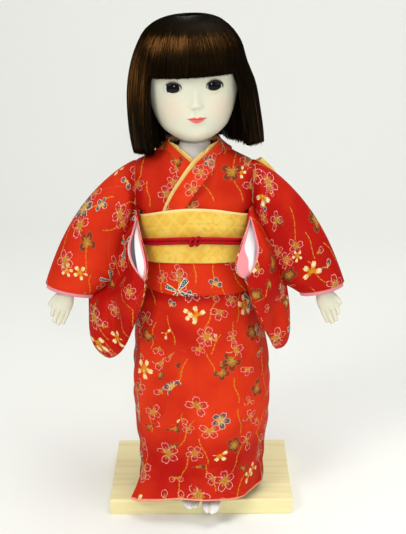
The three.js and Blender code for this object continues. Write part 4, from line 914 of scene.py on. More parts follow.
def makeUnderRobe(s):
    # tube round the legs and trunk, and a white front that spreads from the neck under the collars
    angle = roundTurn(120)[None, :]
    z = np.linspace(s["hem"], s["top"], 40)[:, None]
    loose = lerp(s["inLegs"], offsets["underRobe"], ease(z, 135, 180))
    tube = grid(trunkPoint(angle, z, loose), wrap=True, uv=clothCoords(np.linspace(0, 300, 121)[None, :], z))
    drop = np.linspace(0, 1, 26)[:, None]
    level = lerp(s["bibBottom"], s["neckTop"], drop) + 0 * angle
    spread = (1 - drop) ** 1.35
    wide, deep = [s["neckRadius"] + half * spread for half in s["bibHalf"]]
    x = lerp(upperX, s["neckX"], drop) + wide * np.cos(angle)
    neck = stacked(x, -1.5 * spread + deep * np.sin(angle), level)
    bib = grid(neck, wrap=True, uv=clothCoords(np.linspace(0, 120, 121)[None, :], level[:, :1]))
    obj = newPiece("underRobe", joined(tube, bib))
    wall(obj, s["thick"])
    dress(obj, "doll_body", "robe", [robeCloth], "under_robe")


padding = {"bottom": 158.0, "top": 228.0, "turns": 9.0, "ridge": 0.8, "inside": -11.0}


def makePadding(s):
    # cotton wound round the hips: an oval tube whose surface swells between the turns of the winding
    angle = roundTurn(96)[None, :]
    z = np.linspace(s["bottom"], s["top"], 70)[:, None]
    share = (z - s["bottom"]) / (s["top"] - s["bottom"])
    wound = np.abs(np.sin(np.pi * (share * s["turns"] + angle / fullTurn)))
    outer = trunkPoint(angle, z, s["ridge"] * (wound - 1.2))
    inner = trunkPoint(angle, z, s["inside"] + 0 * z)[::-1]
    points = np.concatenate([outer, inner, outer[:1]])
    uv = clothCoords(np.linspace(0, 250, 97)[None, :], np.linspace(0, 200, len(points))[:, None])
    obj = newPiece("waistPadding", grid(points, wrap=True, uv=uv), weld=0.001)
    dress(obj, "doll_body", "cotton", [whiteCotton], "waist_padding")


# out and z are the path of the folded section
fold = {"out": [3.7, 3.7, 3.75, 4.4, 5.3, 6.0, 6.3, 6.2, 5.6, 4.6, 3.9],
        "z": [190.0, 183.0, 177.0, 174.4, 173.6, 174.3, 176.5, 182.0, 189.0, 197.0, 214.0],
        "wave": 0.45, "thick": 0.7, "meanRadius": 45.0, "tone": 0.2}


def makeFold(s):
    # the tuck below the sash: down the inside, round the bottom, up the outside and in under the sash
    knots = np.arange(len(s["z"]))
    path = np.linspace(0, knots[-1], 90)
    extra, z = [through(knots, s[key], path)[:, None] for key in ("out", "z")]
    angle = roundTurn(260)[None, :]
    outside = ease(path, 4.5, 6.0)[:, None] * (1 - ease(path, 8.2, 9.4)[:, None])
    wave = s["wave"] * ripples(np.degrees(angle) * 0.8, z * 0.9, 21, 46) * outside
    sag = 1.0 * np.sin(2 * angle + 0.9) + 0.5 * np.sin(5 * angle + 2.0)
    points = trunkPoint(angle, z + 0 * angle, extra + wave)
    points[..., 2] += sag * (1 - ease(z, 176, 196))
    length = runningLength(np.concatenate([extra, z], 1))[:, None]
    uv = clothCoords(np.linspace(0, fullTurn, 261)[None, :] * s["meanRadius"], length, (171, 60))
    # painted shade: the whole fold a little darker
    obj = newPiece("waistFold", grid(points, wrap=True, uv=uv, deep=s["tone"]))
    wall(obj, s["thick"])
    dress(obj, "doll_body", "kimono", [crepe], "kimono_bodice")


# top, bottom and depth are pairs: at the neck and at the sleeve seam
yoke = {"neckHalf": 18.0, "armX": 46.0, "top": (287.0, 272.0), "bottom": (226.0, 233.0),
        "depth": (27.0, 19.0),
        "holeHalf": (16.5, 18.5), "holeY": -5.0, "holeBottom": 255.0, "cutOff": 216.0, "bust": 0.16,
        "bustHalf": 17.0, "ripple": 0.35, "thick": 0.9, "tone": 0.4, "seamShade": 0.9}


def yokeSection(aside):
    # top, bottom and depth change evenly from the neck to the sleeve seam; out is the share of that way
    out = np.maximum(0, aside - yoke["neckHalf"]) / (yoke["armX"] - yoke["neckHalf"])
    return [lerp(*yoke[key], out) for key in ("top", "bottom", "depth")] + [out]


def makeBodice(s):
    # chest oval and a yoke whose section shrinks from the neck to the sleeve seams, run together and softened
    a = roundTurn(64)[None, :]
    z = np.linspace(214.0, 255.0, 16)[:, None]
    chest = closedLoft(trunkPoint(a, z, offsets["bodice"] + 0 * z))
    x = np.linspace(-s["armX"] + 0.6, s["armX"] - 0.6, 60)[:, None]
    top, bottom, depth, out = yokeSection(np.sqrt(x**2 + 9))
    top = top - 0.8 * np.sin(np.pi * np.clip(out, 0, 1))
    shrink = 1 - 0.28 * ease(np.abs(x), s["armX"] - 6.5, s["armX"])
    swell = 1 + s["bust"] * bell(x, s["bustHalf"]) * (np.cos(a) > 0)
    y = -depth * shrink * signedPower(np.cos(a), 0.8) * swell
    rings = stacked(upperX + x, y, (top + bottom) / 2 + (top - bottom) / 2 * np.sin(a))
    obj = fused("kimonoBodice", [chest, closedLoft(rings)], 1.0, 14)
    x, y, z = meshPoints(obj).T
    hole = ((x - upperX) / s["holeHalf"][0]) ** 2 + ((y - s["holeY"]) / s["holeHalf"][1]) ** 2 < 1
    without(obj, (hole & (z > s["holeBottom"])) | (z < s["cutOff"]))
    x, y, z = meshPoints(obj).T
    y = y + s["ripple"] * ripples(x, z, 33, 26) * (np.abs(y) > 8)
    setPoints(obj, stacked(x, y, z))
    setCoords(obj, clothCoords(x, np.where(y > 0, 2 * s["top"][0] - z, z), (420, 40)))
    # painted shade: the bodice a little darker all over, and darker still near the sleeve seams below the
    # shoulders
    atSeam = ease(np.abs(x - upperX), s["armX"] - 11, s["armX"] - 2) * (1 - ease(z, 252, 270))
    setTag(obj.data, "deep", s["tone"] + s["seamShade"] * atSeam)
    wall(obj, s["thick"])
    dress(obj, "doll_body", "kimono", [crepe], "kimono_bodice")
    return obj


collarRun = np.array([
    (4.4, -29.7, 267), (2.4, -29.6, 270.5), (0, -29.5, 274), (-12.5, -22, 284.5), (-19, -8, 289),
    (-15, 9, 290), (0, 17.5, 290.5), (15, 9, 290), (19, -8, 289), (12.5, -23.5, 284.5),
    (0, -33.2, 274), (-12, -35.5, 257), (-19, -35.4, 244), (-25, -34.0, 228)], float)


def chestFront(x, z):  # y of the dressed chest: the trunk's oval or the yoke's section, the further forward
    wide, deep = [trunkAt(key, z) + offsets["bodice"] for key in ("halfWidth", "halfDepth")]
    oval = deep * np.sqrt(np.clip(1 - ((x - upperX) / wide) ** 2, 0, 1))
    top, bottom, depth, _ = yokeSection(np.abs(x - upperX))
    lift = (z - (top + bottom) / 2) / ((top - bottom) / 2)
    section = depth * np.clip(1 - lift**2, 0, 1) ** 0.4
    section = section * (1 + yoke["bust"] * bell(x - upperX, yoke["bustHalf"]))
    return -np.maximum(oval * (1 - ease(z, 252, 258)), section)


collar = {"width": 14.0, "thick": 1.1, "reveal": 3.1, "underWidth": 11.0, "roll": 0.9, "drop": 3.2,
          "underTone": 0.35}


def collarSheet(sideFrom, sideTo, level, columns, drop=0.0, rows=190):
    # a band whose inner edge follows the run: it falls away from the neck and lies flat on the chest
    knots = np.arange(len(collarRun))
    at = np.linspace(0, knots[-1], rows)
    path = np.stack([through(knots, collarRun[:, k], at) for k in range(3)], 1)
    ahead = unit(np.gradient(path, axis=0))
    out = unit(path * np.array([1.0, 1.0, 0.0]))
    across = unit(np.cross(ahead, out))
    across *= -np.sign(across[:, 2:3] + 1e-9)
    nape = ease(path[:, 1], -24, 4)[:, None]
    slope = np.concatenate([out[:, :2] * 0.75, np.full((rows, 1), -0.65)], 1)
    fall = unit(lerp(across, slope, nape))
    normal = unit(np.cross(fall, ahead))
    normal *= np.sign((normal * out).sum(1, keepdims=True))
    side = np.linspace(sideFrom, sideTo, columns)
    lift = level + collar["roll"] * bell((side - sideFrom) / 2.2, 1)
    low = drop * ease(path[:, 1], -26, -6)[:, None]
    points = path[:, None] + fall[:, None] * (side[None, :] + low)[..., None]
    points = points + normal[:, None] * lift[None, :, None]
    points[..., 0] += upperX
    hug = 1 - ease(points[..., 2], 246, 268)
    cross = 1.3 * ease(at / knots[-1], 0.55, 0.75)[:, None]
    off = lerp(0.3 + 0 * cross, 1.2 + cross, ease(points[..., 2], 240, 250)) + lift[None, :]
    points[..., 1] = lerp(points[..., 1], chestFront(points[..., 0], points[..., 2]) - off, hug)
    uv = clothCoords(side[None, :], runningLength(path)[:, None], (600, 30))
    return points, uv


def layCollar(name, sheet, keepOff, material, slot, node, flat, bodice, **tags):
    # pushed clear of the bodice, softened and given a thickness
    points, uv = sheet
    middle = len(points) // 2
    corner = points[middle, 0]
    outside = np.cross(points[middle, 1] - corner, points[middle + 1, 0] - corner)
    if outside @ (corner - np.array([upperX, 0, corner[2]])) < 0:
        points, uv = points[::-1], uv[::-1]
    obj = newPiece(name, grid(points, uv=uv, **tags))
    off = obj.modifiers.new("lie", "SHRINKWRAP")
    off.target = bodice
    off.wrap_method, off.wrap_mode, off.offset = "NEAREST_SURFACEPOINT", "OUTSIDE", keepOff * mm
    soft = obj.modifiers.new("soften", "SMOOTH")
    soft.iterations, soft.factor = 3, 0.5
    settled(obj)
    wall(obj, collar["thick"], offset=0)
    dress(obj, "doll_body", slot, [material], node)


def makeCollars(s, bodice):
    # the kimono's collar, and inside it the yellow one, which shows above its inner edge
    sheet = collarSheet(0, s["width"], 0.6, 16)
    layCollar("kimonoCollar", sheet, 1.3, crepe, "kimono", "kimono_collar", (0.014, 0.222), bodice)
    sheet = collarSheet(-s["reveal"], s["underWidth"] - s["reveal"], -0.9, 12, s["drop"])
    layCollar("underCollar", sheet, 0.4, brocade, "gold", "under_collar", (0.011, 0.215), bodice,
              pale=s["underTone"])


obi = {"bottom": 194.5, "top": 230.5, "bottomArch": 4.0, "topArch": 11.0, "thick": 1.3, "meanRadius": 43.0,
       "belly": 0.9, "dip": 0.25, "crease": 0.5, "creaseAt": 0.72, "edgeHighlight": 0.75}


def makeObi(s):
    # a band with rolled edges and a slight belly; both edges rise towards the front and the back
    share = np.concatenate([[0.012, 0.004, 0.0], np.linspace(0.004, 0.996, 40), [1.0, 0.996, 0.988]])[:, None]
    tuck = np.concatenate([[-2.2, -1.4, -0.7], -0.35 * np.ones(40), [-0.7, -1.4, -2.2]])[:, None]
    angle = roundTurn(240)[None, :]
    rise = np.sin(angle) ** 2
    z = lerp(s["bottom"] + s["bottomArch"] * rise, s["top"] + s["topArch"] * rise, share)
    belly = s["belly"] * (np.sin(np.pi * share) - bell((share - 0.5) / 0.11, 1))
    dip = s["dip"] * ripples(np.degrees(angle) * 0.7, z, 51, 30)
    crease = -s["crease"] * bell((share - s["creaseAt"]) / 0.018, 1) * ease(-np.sin(angle), 0.0, 0.5)
    points = trunkPoint(angle, z, offsets["obi"] + tuck + belly + dip + crease)
    # painted highlight: the top edge paler, through the pale tag
    pale = ease(share, 0.955, 0.975) * s["edgeHighlight"] + 0 * angle
    around = np.linspace(0, fullTurn, 241)[None, :] * s["meanRadius"]
    uv = clothCoords(around, share * (s["top"] - s["bottom"] + 6))
    obj = newPiece("obiSash", grid(points, wrap=True, uv=uv, pale=pale))
    wall(obj, s["thick"])
    dress(obj, "doll_body", "gold", [brocade], "obi_sash")


sashCord = {"z": 209.5, "arch": 7.5, "strand": 1.45, "apart": 1.42, "length": 290.0, "girth": 9.1,
            "knotStrand": 1.25, "knotLength": 24.0, "knotGirth": 7.9}


def makeSashCord(s):
    # two braided strands side by side round the sash
    angle = roundTurn(200)[:, None]
    around = roundTurn(14)[None, :]
    out = stacked(np.cos(angle), np.sin(angle), 0)
    ring = out * (s["strand"] * np.cos(around))[..., None]
    ring = ring + np.array([0, 0, 1]) * (s["strand"] * np.sin(around))[..., None]
    uv = clothCoords(np.linspace(0, s["length"], 201)[None, :], np.linspace(0, s["girth"], 15)[:, None])
    strands = []
    for level in (-1, 1):
        z = s["z"] + s["arch"] * np.sin(angle) ** 2 + level * s["apart"]
        points = trunkPoint(angle, z, offsets["obi"] + 0.1 + s["strand"]).reshape(-1, 1, 3) + ring
        closed = np.concatenate([points, points[:1]]).transpose(1, 0, 2)
        strands.append(grid(np.concatenate([closed, closed[:1]]), uv=uv))
    obj = newPiece("obiCord", joined(*strands), weld=0.001)
    dress(obj, "doll_body", "cord", [braid], "obi_cord")


def makeCordKnot(s):
    # flat knot: one strand passes over the pair, turns back under it and over again
    front = trunkPoint(np.array(-np.pi / 2), np.array(s["z"] + s["arch"]), offsets["obi"])
    t = np.linspace(0, fullTurn, 72)
    around, along = np.linspace(0, s["knotGirth"], 13), np.linspace(0, s["knotLength"], 74)
    uv = clothCoords(along[:, None], around[None, :])
    bights = []
    for side in (-1, 1):
        x = side * (2.1 + 1.55 * np.cos(t)) + 0.5 * np.sin(t)
        deep = -3.3 - 1.15 * np.sin(t) ** 2 + 0.9 * side * np.cos(t)
        high = 2.95 * np.sin(t) + 0.25 * side
        path = front + np.stack([x, deep, high], 1)
        rings = tubeRings(path, np.full((len(t), 2), s["knotStrand"]), 12, up=(0.0, 1.0, 0.0))
        bights.append(closedLoft(rings, uv=uv))
    obj = newPiece("obiCordKnot", joined(*bights), weld=0.001)
    dress(obj, "doll_body", "cord", [braid], "obi_cord_knot")


bow = {"z": 208.0, "tilt": 32.0, "length": 71.5, "width": 40.0, "waist": 17.0, "thick": 15.0, "lift": 1.5,
       "knotLength": 15.0, "knotWidth": 25.0, "knotThick": 20.0, "cloth": 0.9, "seatExtra": 10.0,
       "tone": 0.08}


def bowPlace(points):  # turns the bow's own axes (along, out, across) to the slant on the back of the sash
    seat = trunkPoint(np.array(np.pi / 2), np.array(bow["z"]), np.array(bow["seatExtra"]))
    turn = np.array(Matrix.Rotation(-math.radians(bow["tilt"]), 3, "Y"))
    return points @ turn.T + seat


def makeBowLoops(s):
    # each loop is one length of sash: out along the back, round the end and home along the front; it is
    # gathered at the knot
    t = np.linspace(0, 1, 140)[:, None]
    w = np.linspace(-1, 1, 44)[None, :]
    share = np.where(t < 0.5, t * 2, 2 - t * 2)
    reach = np.sin(np.clip(share, 0, 1) * np.pi / 2) ** 0.85
    face = np.cos(np.pi * ease(t, 0.38, 0.62))
    opened = ease(reach, 0, 0.75)
    half = lerp(s["waist"], s["width"], opened) / 2 * (1 - 0.12 * ease(reach, 0.7, 1.0))
    deep = lerp(0.55, 1.0, opened) * (s["thick"] / 2 - 0.6)
    pleat = (1 - opened) * 1.5 * np.cos(w * np.pi * 3) + 0.6 * opened * np.cos(w * np.pi * 1.5 + 0.4)
    pleat = pleat * np.where(t < 0.5, 0.55, 1.0)
    along = s["knotLength"] / 2 - 2.0 + (s["length"] + 1.0) * reach * (1 - 0.045 * w**2)
    out = s["lift"] + s["thick"] / 2 + 3 * reach - deep * face * (1 - 0.35 * w**4) + pleat
    uv = clothCoords(w * s["width"] / 2, t * 2 * s["length"], (40, 90))
    for name, node, side in (("bowUpperLoop", "bow_upper_loop", 1), ("bowLowerLoop", "bow_lower_loop", -1)):
        points = bowPlace(stacked(side * along, out, side * half * w))
        obj = newPiece(name, grid(points[:, ::-1], uv=uv, pale=s["tone"]))
        wall(obj, s["cloth"], offset=0)
        dress(obj, "doll_body", "gold", [brocade], node)


def makeBowBand(s):
    # the band round the middle: a rounded oblong section carried across, with three soft tucks
    a = roundTurn(96)[None, :]
    x = np.linspace(-1, 1, 30)[:, None]
    bulge = 1 - 0.06 * x**4 + 0.03 * np.cos(x * np.pi * 3)
    across = (s["knotWidth"] / 2 - 0.6) * signedPower(np.cos(a), 0.55) * bulge
    away = s["knotThick"] / 2 + (s["knotThick"] / 2 - 0.3) * signedPower(np.sin(a), 0.55) * bulge
    rings = bowPlace(stacked(x * s["knotLength"] / 2, away, across))
    uv = clothCoords(np.linspace(0, 80, 97)[None, :], np.linspace(0, s["knotLength"], 32)[:, None], (15, 200))
    obj = newPiece("bowBand", closedLoft(rings[:, ::-1], uv=uv, pale=0.0), weld=0.001)
    dress(obj, "doll_body", "gold", [brocade], "bow_band")


makeSkirt(skirt)
makeUnderRobe(robe)
makePadding(padding)
makeFold(fold)
bodiceObject = makeBodice(yoke)
makeCollars(collar, bodiceObject)
makeObi(obi)
makeSashCord(sashCord)
makeCordKnot(sashCord)
makeBowLoops(bow)
makeBowBand(bow)
print("clothing of the trunk made")


# sleeves: a tube along the arm and a long bag that hangs from it; -1 is the doll's right side and 1 its left

sleeve = {
    "from": (46.3, 0.0, 252.5), "to": (101.5, -6.0, 170.5), "turn": 77.0, "high": (19.5, 18.0),
    "deep": (18.0, 13.5), "slack": {-1: [0.0, 5.5, 9.0, 8.0, 5.5], 1: [0.0, 5.0, 8.5, 9.0, 2.0]},
    "bulge": 4.5, "inward": 8.0, "crease": 0.7, "sway": 0.7, "thick": 0.9, "hem": 3.2,
    "liningThick": 0.5, "liningInset": 1.25, "liningShy": 7.0,
    "bagZ": [117.5, 119, 122, 127, 135, 152, 172, 192, 214, 226, 238],
    "outerX": {-1: [71.5, 74, 77.5, 81, 83.5, 84, 84, 81, 72, 64, 56],
               1: [69, 71, 72.8, 73.6, 74, 73, 70.5, 70, 66, 61.5, 55]},
    "outerY": {-1: [-24, -22.5, -21, -19, -15, -8, 4, 9, 9, 6, 1],
               1: [-24, -22.5, -21, -19, -16, -13, -11, -9, -5, 0, 1]},
    "innerX": {-1: [68, 65, 61, 57, 53, 46.5, 40, 38, 41, 43, 46],
               1: [64.5, 63, 61.5, 60.5, 58, 50.5, 44.5, 38.5, 39, 42, 45]},
    "innerY": [-27, -29, -31, -33, -36, -41, -44, -43, -35, -24, -11],
    "bagThick": [0.2, 3, 6, 10, 14, 17, 18, 17, 15, 13, 11],
    "lift": {-1: 0.0, 1: 7.0}, "tuckZ": [165, 177, 189, 209, 233], "tuck": 24.0,
    "tuckX": {-1: [71, 58, 50, 45, 40], 1: [69, 66, 63.5, 58, 47]}, "valleyX": 63.0, "valley": 7.0,
    "slit": (186.0, 231.0), "frontOpen": {-1: 54.0, 1: 62.0}, "leaf": {-1: 3.0, 1: 7.0},
    "leafLength": {-1: 13.0, 1: 24.0}, "leafHigh": {-1: 0.62, 1: 0.42},
    # painted shade: a base darkness for each side's tube and bag
    "tubeShade": {-1: 0.2, 1: 1.1}, "bagShade": {-1: 1.1, 1: 0.75},
    "pinkWidth": {-1: (1.4, 1.4), 1: (9.0, 2.0)}, "blendFrom": 36.0, "blendTo": 50.0,
}
tubeAngle = np.linspace(-np.pi, np.pi, 97)[None, :]
evenShare = np.linspace(0, 1, 150)[None, :]
bagShare = evenShare + 0.03 * np.sin(fullTurn * evenShare)  # a little closer together at the outer edge


def facedOut(part):  # turns the faces round if, taken together, they look towards the middle
    corners = part["co"][part["faces"]]
    normal = np.cross(corners[:, 2] - corners[:, 0], corners[:, 3] - corners[:, 1])
    if (normal * (corners.mean(1) - part["co"].mean(0))).sum() < 0:
        part["faces"] = part["faces"][:, ::-1]
        part["uv"] = part["uv"].reshape(-1, 4, 2)[:, ::-1].reshape(-1, 2)
    return part


def sleeveTube(side, share, inset):
    # centre on a straight run, the section turning from upright to the slope of the arm; beyond the seam
    # (share below 0) it goes on straight into the bodice and narrows
    s = sleeve
    share, angle = np.broadcast_arrays(share, tubeAngle)
    inside = np.clip(-share, 0, None)
    t = np.clip(share, 0, 1)
    turn = np.radians(s["turn"]) * t
    up = stacked(np.sin(turn), 0, np.cos(turn))
    ahead = stacked(np.cos(turn), 0, -np.sin(turn))
    bulge = s["bulge"] * np.sin(np.pi * t**0.8)
    shrink = 1 - 0.12 * ease(inside, 0, 1)
    drawn = shrink - 0.3 * (1 - ease(share, 0.0, 0.09)) + 0.07 * bell(share - 0.2, 0.13)
    high = (lerp(*s["high"], t) + bulge) * shrink - inset
    deep = lerp(*s["deep"], t) * drawn - inset
    centre = lerp(np.array(s["from"]), np.array(s["to"]), t[..., None]) + up * bulge[..., None]
    centre = centre + ahead * (np.clip(share - 1, 0, None) * 100)[..., None]
    centre = centre - np.array([1.0, 0, 0]) * (inside * s["inward"])[..., None]
    slack = through([0, 0.25, 0.5, 0.75, 1.0], s["slack"][side], t) * np.clip(-np.cos(angle), 0, 1)
    points = centre + up * (high * np.cos(angle) - slack)[..., None]
    points = points + np.array([0, 1.0, 0]) * (deep * np.sin(angle))[..., None]
    points[..., 0] = upperX + side * points[..., 0]
    # slack folds on the front and back
    fold = s["crease"] * ripples(share * 75, np.degrees(angle) * 0.35, 71 + side, 30)
    fold = fold * ease(share, 0.04, 0.2) * (1 - ease(share, 0.9, 1.0)) * np.abs(np.sin(angle))
    return points + unit(points - points.mean(1, keepdims=True)) * fold[..., None]


def alongRows(points):  # running length along each row
    step = np.linalg.norm(np.diff(points, axis=1), axis=2)
    return np.concatenate([np.zeros((len(points), 1)), np.cumsum(step, 1)], 1)


def tuckLine(side, z):  # how far out the bag starts to go behind the tube
    knots = sleeve["tuckZ"]
    return through(knots, sleeve["tuckX"][side], np.clip(z, knots[0], knots[-1]))


def bagSheet(side, z, inset, shy):
    # At each height the section is a flattened oval between the outer and the inner edge. share runs round
    # it from the front lip of the armhole slit, past the outer edge, to the back lip; shy closes the slit
    # a little.
    s = sleeve
    z, share = np.broadcast_arrays(z, bagShare)
    outerX, outerY, innerX = [through(s["bagZ"], s[key][side], z) for key in ("outerX", "outerY", "innerX")]
    innerY, bagThick = [through(s["bagZ"], s[key], z) for key in ("innerY", "bagThick")]
    outer, inner = stacked(outerX, outerY), stacked(innerX, innerY)
    middle, reach = (outer + inner) / 2, (inner - outer) / 2
    half = np.linalg.norm(reach, axis=-1)
    run = reach / half[..., None]
    face = stacked(-run[..., 1], run[..., 0])
    high = np.clip((z - s["slit"][0]) / (s["slit"][1] - s["slit"][0]), 0, 1)
    slit = np.sin(np.pi * high) ** 0.7
    first = np.radians(np.maximum(s["frontOpen"][side] - shy, 0)) * slit
    angle = lerp(first, fullTurn, share)
    half = np.maximum(half - inset, 0.3)
    thick = np.maximum(bagThick / 2 - inset, 0.1)
    low = np.clip((236 - z) / 116, 0, 1)
    sway = s["sway"] * ripples(half * np.cos(angle), z * 0.4, 61 + side, 34) * ease(low, 0.12, 0.4)
    bulk = thick * np.sin(angle) + sway * (1 - ease(low, 0.9, 1.0)) * np.abs(np.sin(angle))
    flat = middle + run * (half * signedPower(np.cos(angle), 0.8))[..., None] + face * bulk[..., None]
    # in front the outer half is drawn back behind the sleeve tube; lower down it keeps a valley there
    inFront = np.clip(np.sin(angle), 0, 1) ** 0.5
    fromFront = ease(angle - np.radians(s["frontOpen"][side]) * slit, 0.04, 0.45)
    above = ease(z, 158, 178)
    back = s["tuck"] * ease(flat[..., 0] - tuckLine(side, z), -3, 7) * above * fromFront
    back = back + s["valley"] * bell(flat[..., 0] - s["valleyX"], 5.5) * ease(z, 126, 142) * (1 - above)
    flat[..., 1] += np.minimum(back * inFront, np.maximum(bagThick * inFront - 2.0, 0))
    # the back edge of the armhole slit swings towards the viewer as a flat leaf
    fromLip = (1 - share) * 2 * (half + thick)
    peak = np.sin(np.pi * high ** s["leafHigh"][side]) ** 0.8
    leafX = innerX - s["leaf"][side] * peak + fromLip + inset
    leafY = innerY + 1.5 + 0.16 * fromLip - inset
    turned = peak * (1 - ease(fromLip, s["leafLength"][side] * 0.5, s["leafLength"][side]))
    x, y = np.moveaxis(lerp(flat, stacked(leafX, leafY), turned[..., None]), -1, 0)
    return stacked(upperX + side * x, y, z + s["lift"][side] * low**2)


def makeSleeveTube(side, word):
    # the tube's cloth, with painted shade on its underside and at the shoulder seam
    s = sleeve
    share = np.concatenate([np.linspace(-1, -0.1, 8), np.linspace(0, 1, 96)])[:, None]
    points = sleeveTube(side, share, 0.0)
    around = alongRows(points)
    uv = clothCoords(around - around[:, 48:49], share * 100, (side * 150 + 300, 250))
    below, atSeam = ease(-np.cos(tubeAngle), 0.3, 0.95), 1 - ease(share, 0.0, 0.14)
    deep = s["tubeShade"][side] + 0.6 * below + 0.6 * atSeam
    tube = newPiece("sleeveTube" + word, facedOut(grid(points, uv=uv, deep=deep)), weld=0.001)
    wall(tube, s["thick"], rim=1)
    dress(tube, None, "kimono", [crepe, pinkEdge], "sleeve_" + word.lower())
    return tube


def makeSleeveBag(side, word):
    # the bag's cloth, with painted shade where it goes behind the tube
    s = sleeve
    z = np.concatenate([np.linspace(117.5, 122, 8), np.linspace(122.8, 238, 118)])[:, None]
    points = bagSheet(side, z, 0.0, 0.0)
    around = alongRows(points)
    uv = clothCoords(around - around[:, 74:75], z, (side * 90 + 220, 330))
    pastTuck = side * (points[..., 0] - upperX) - tuckLine(side, z)
    deep = s["bagShade"][side] + 0.5 * ease(pastTuck, -5, 4) * ease(z, 140, 165)
    bag = newPiece("sleeveBag" + word, facedOut(grid(points, uv=uv, deep=deep)), weld=0.02)
    wall(bag, s["thick"], rim=1)
    dress(bag, word.lower() + "_arm", "kimono", [crepe, pinkEdge], "sleeve_" + word.lower())
    return bag


def makeSleeveLining(side, word):
    # inside the cuff and inside the bag, a little longer than the outer cloth at each edge
    s = sleeve
    share = np.linspace(0.5, 1 + s["hem"] / 100, 40)[:, None]
    points = sleeveTube(side, share, s["liningInset"])
    uv = clothCoords(alongRows(points), share * 100)
    cuff = facedOut(grid(points, uv=uv, edge=ease(share, 0.97, 0.98)))
    z = np.concatenate([np.linspace(119.5, 124, 8), np.linspace(124.8, 231, 90)])[:, None]
    lip = (1 - ease(bagShare, 0.0, 0.05)) * ease(z, 190, 197)
    inset = lerp(s["liningInset"], -0.5, lip) + 0.9 * (1 - ease(z, 176, 186))
    points = bagSheet(side, z, inset, s["liningShy"])
    around = alongRows(points)
    toEnd = around[:, -1:] - around
    near = np.minimum(around, toEnd)
    backWide = lerp(*s["pinkWidth"][side], ease(z, 198, 212))
    edge = np.where(around < toEnd, 1 - ease(near, 1.6, 2.2), 1 - ease(near, backWide, backWide + 0.6))
    pocket = facedOut(grid(points, uv=clothCoords(around, z), edge=edge))
    lining = newPiece("sleeveLining" + word, joined(cuff, pocket), weld=0.02)
    wall(lining, s["liningThick"])
    dress(lining, word.lower() + "_arm", "lining", [liningCloth], "sleeve_lining_" + word.lower())
    return lining


def makeSleeve(side, word):
    tube, bag, lining = makeSleeveTube(side, word), makeSleeveBag(side, word), makeSleeveLining(side, word)
    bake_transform(tube)


arm = {"from": (49.3, 0.0, 248.5), "wrist": (100.0, -8.0, 172.0), "bend": (2.0, 3.0, 3.0),
       "radii": (9.0, 8.0, 6.6), "tied": 0.5}


def makeArm(side, word):
    # a round roll of cloth on a bent line, a little fuller between the places where it is tied
    a, w = np.array(arm["from"]), np.array(arm["wrist"])
    share = np.linspace(0, 1, 60)
    path = bezier([a, (a + w) / 2 + np.array(arm["bend"]), w], share)
    path[:, 0] = upperX + side * path[:, 0]
    radius = through([0, 0.5, 1], arm["radii"], share) - arm["tied"] * np.abs(np.cos(share * np.pi * 3)) ** 6
    radius = radius * np.sqrt(np.clip(np.minimum(share, 1 - share) / 0.05, 0.12, 1))
    rings = tubeRings(path, np.stack([radius, radius], 1), 40, up=(0.0, 1.0, 0.0))
    uv = clothCoords(np.linspace(0, 50, 41)[None, :], np.linspace(0, 95, 62)[:, None])
    obj = newPiece("arm" + word, facedOut(closedLoft(rings, uv=uv)), weld=0.001)
    dress(obj, word.lower() + "_arm", "cotton", [whiteCotton], "arm_" + word.lower())


hand = {
    "slope": 21.0, "forward": 6.0, "gap": 0.3, "palmZ": [-22, -16, -10, -5, 0, 1],
    "palmHalf": [7.0, 8, 7.4, 5.8, 5.2, 4.6], "palmThick": [2.9, 3.9, 4.5, 4.7, 5.2, 4.6],
    "spread": 11.9, "fingerRoot": -19.0, "fingerLength": 14.0, "fingerRadius": 2.1, "curl": 3.2,
    "thumbRoot": (5.6, 0.5, -8.0), "thumbTip": (9.6, -1.5, -20.9), "thumbRadius": 2.5,
    "clefts": (-4.0, 0.0, 4.0), "cleftHalf": 0.55,
}


def fingerTube(bend, t, radius, flat=1.0):  # a round-ended tube along a curve through three points
    rings = tubeRings(bezier(bend, t), np.stack([radius, radius * flat], 1), 20, up=(0.0, 1.0, 0.0))
    return facedOut(closedLoft(rings))


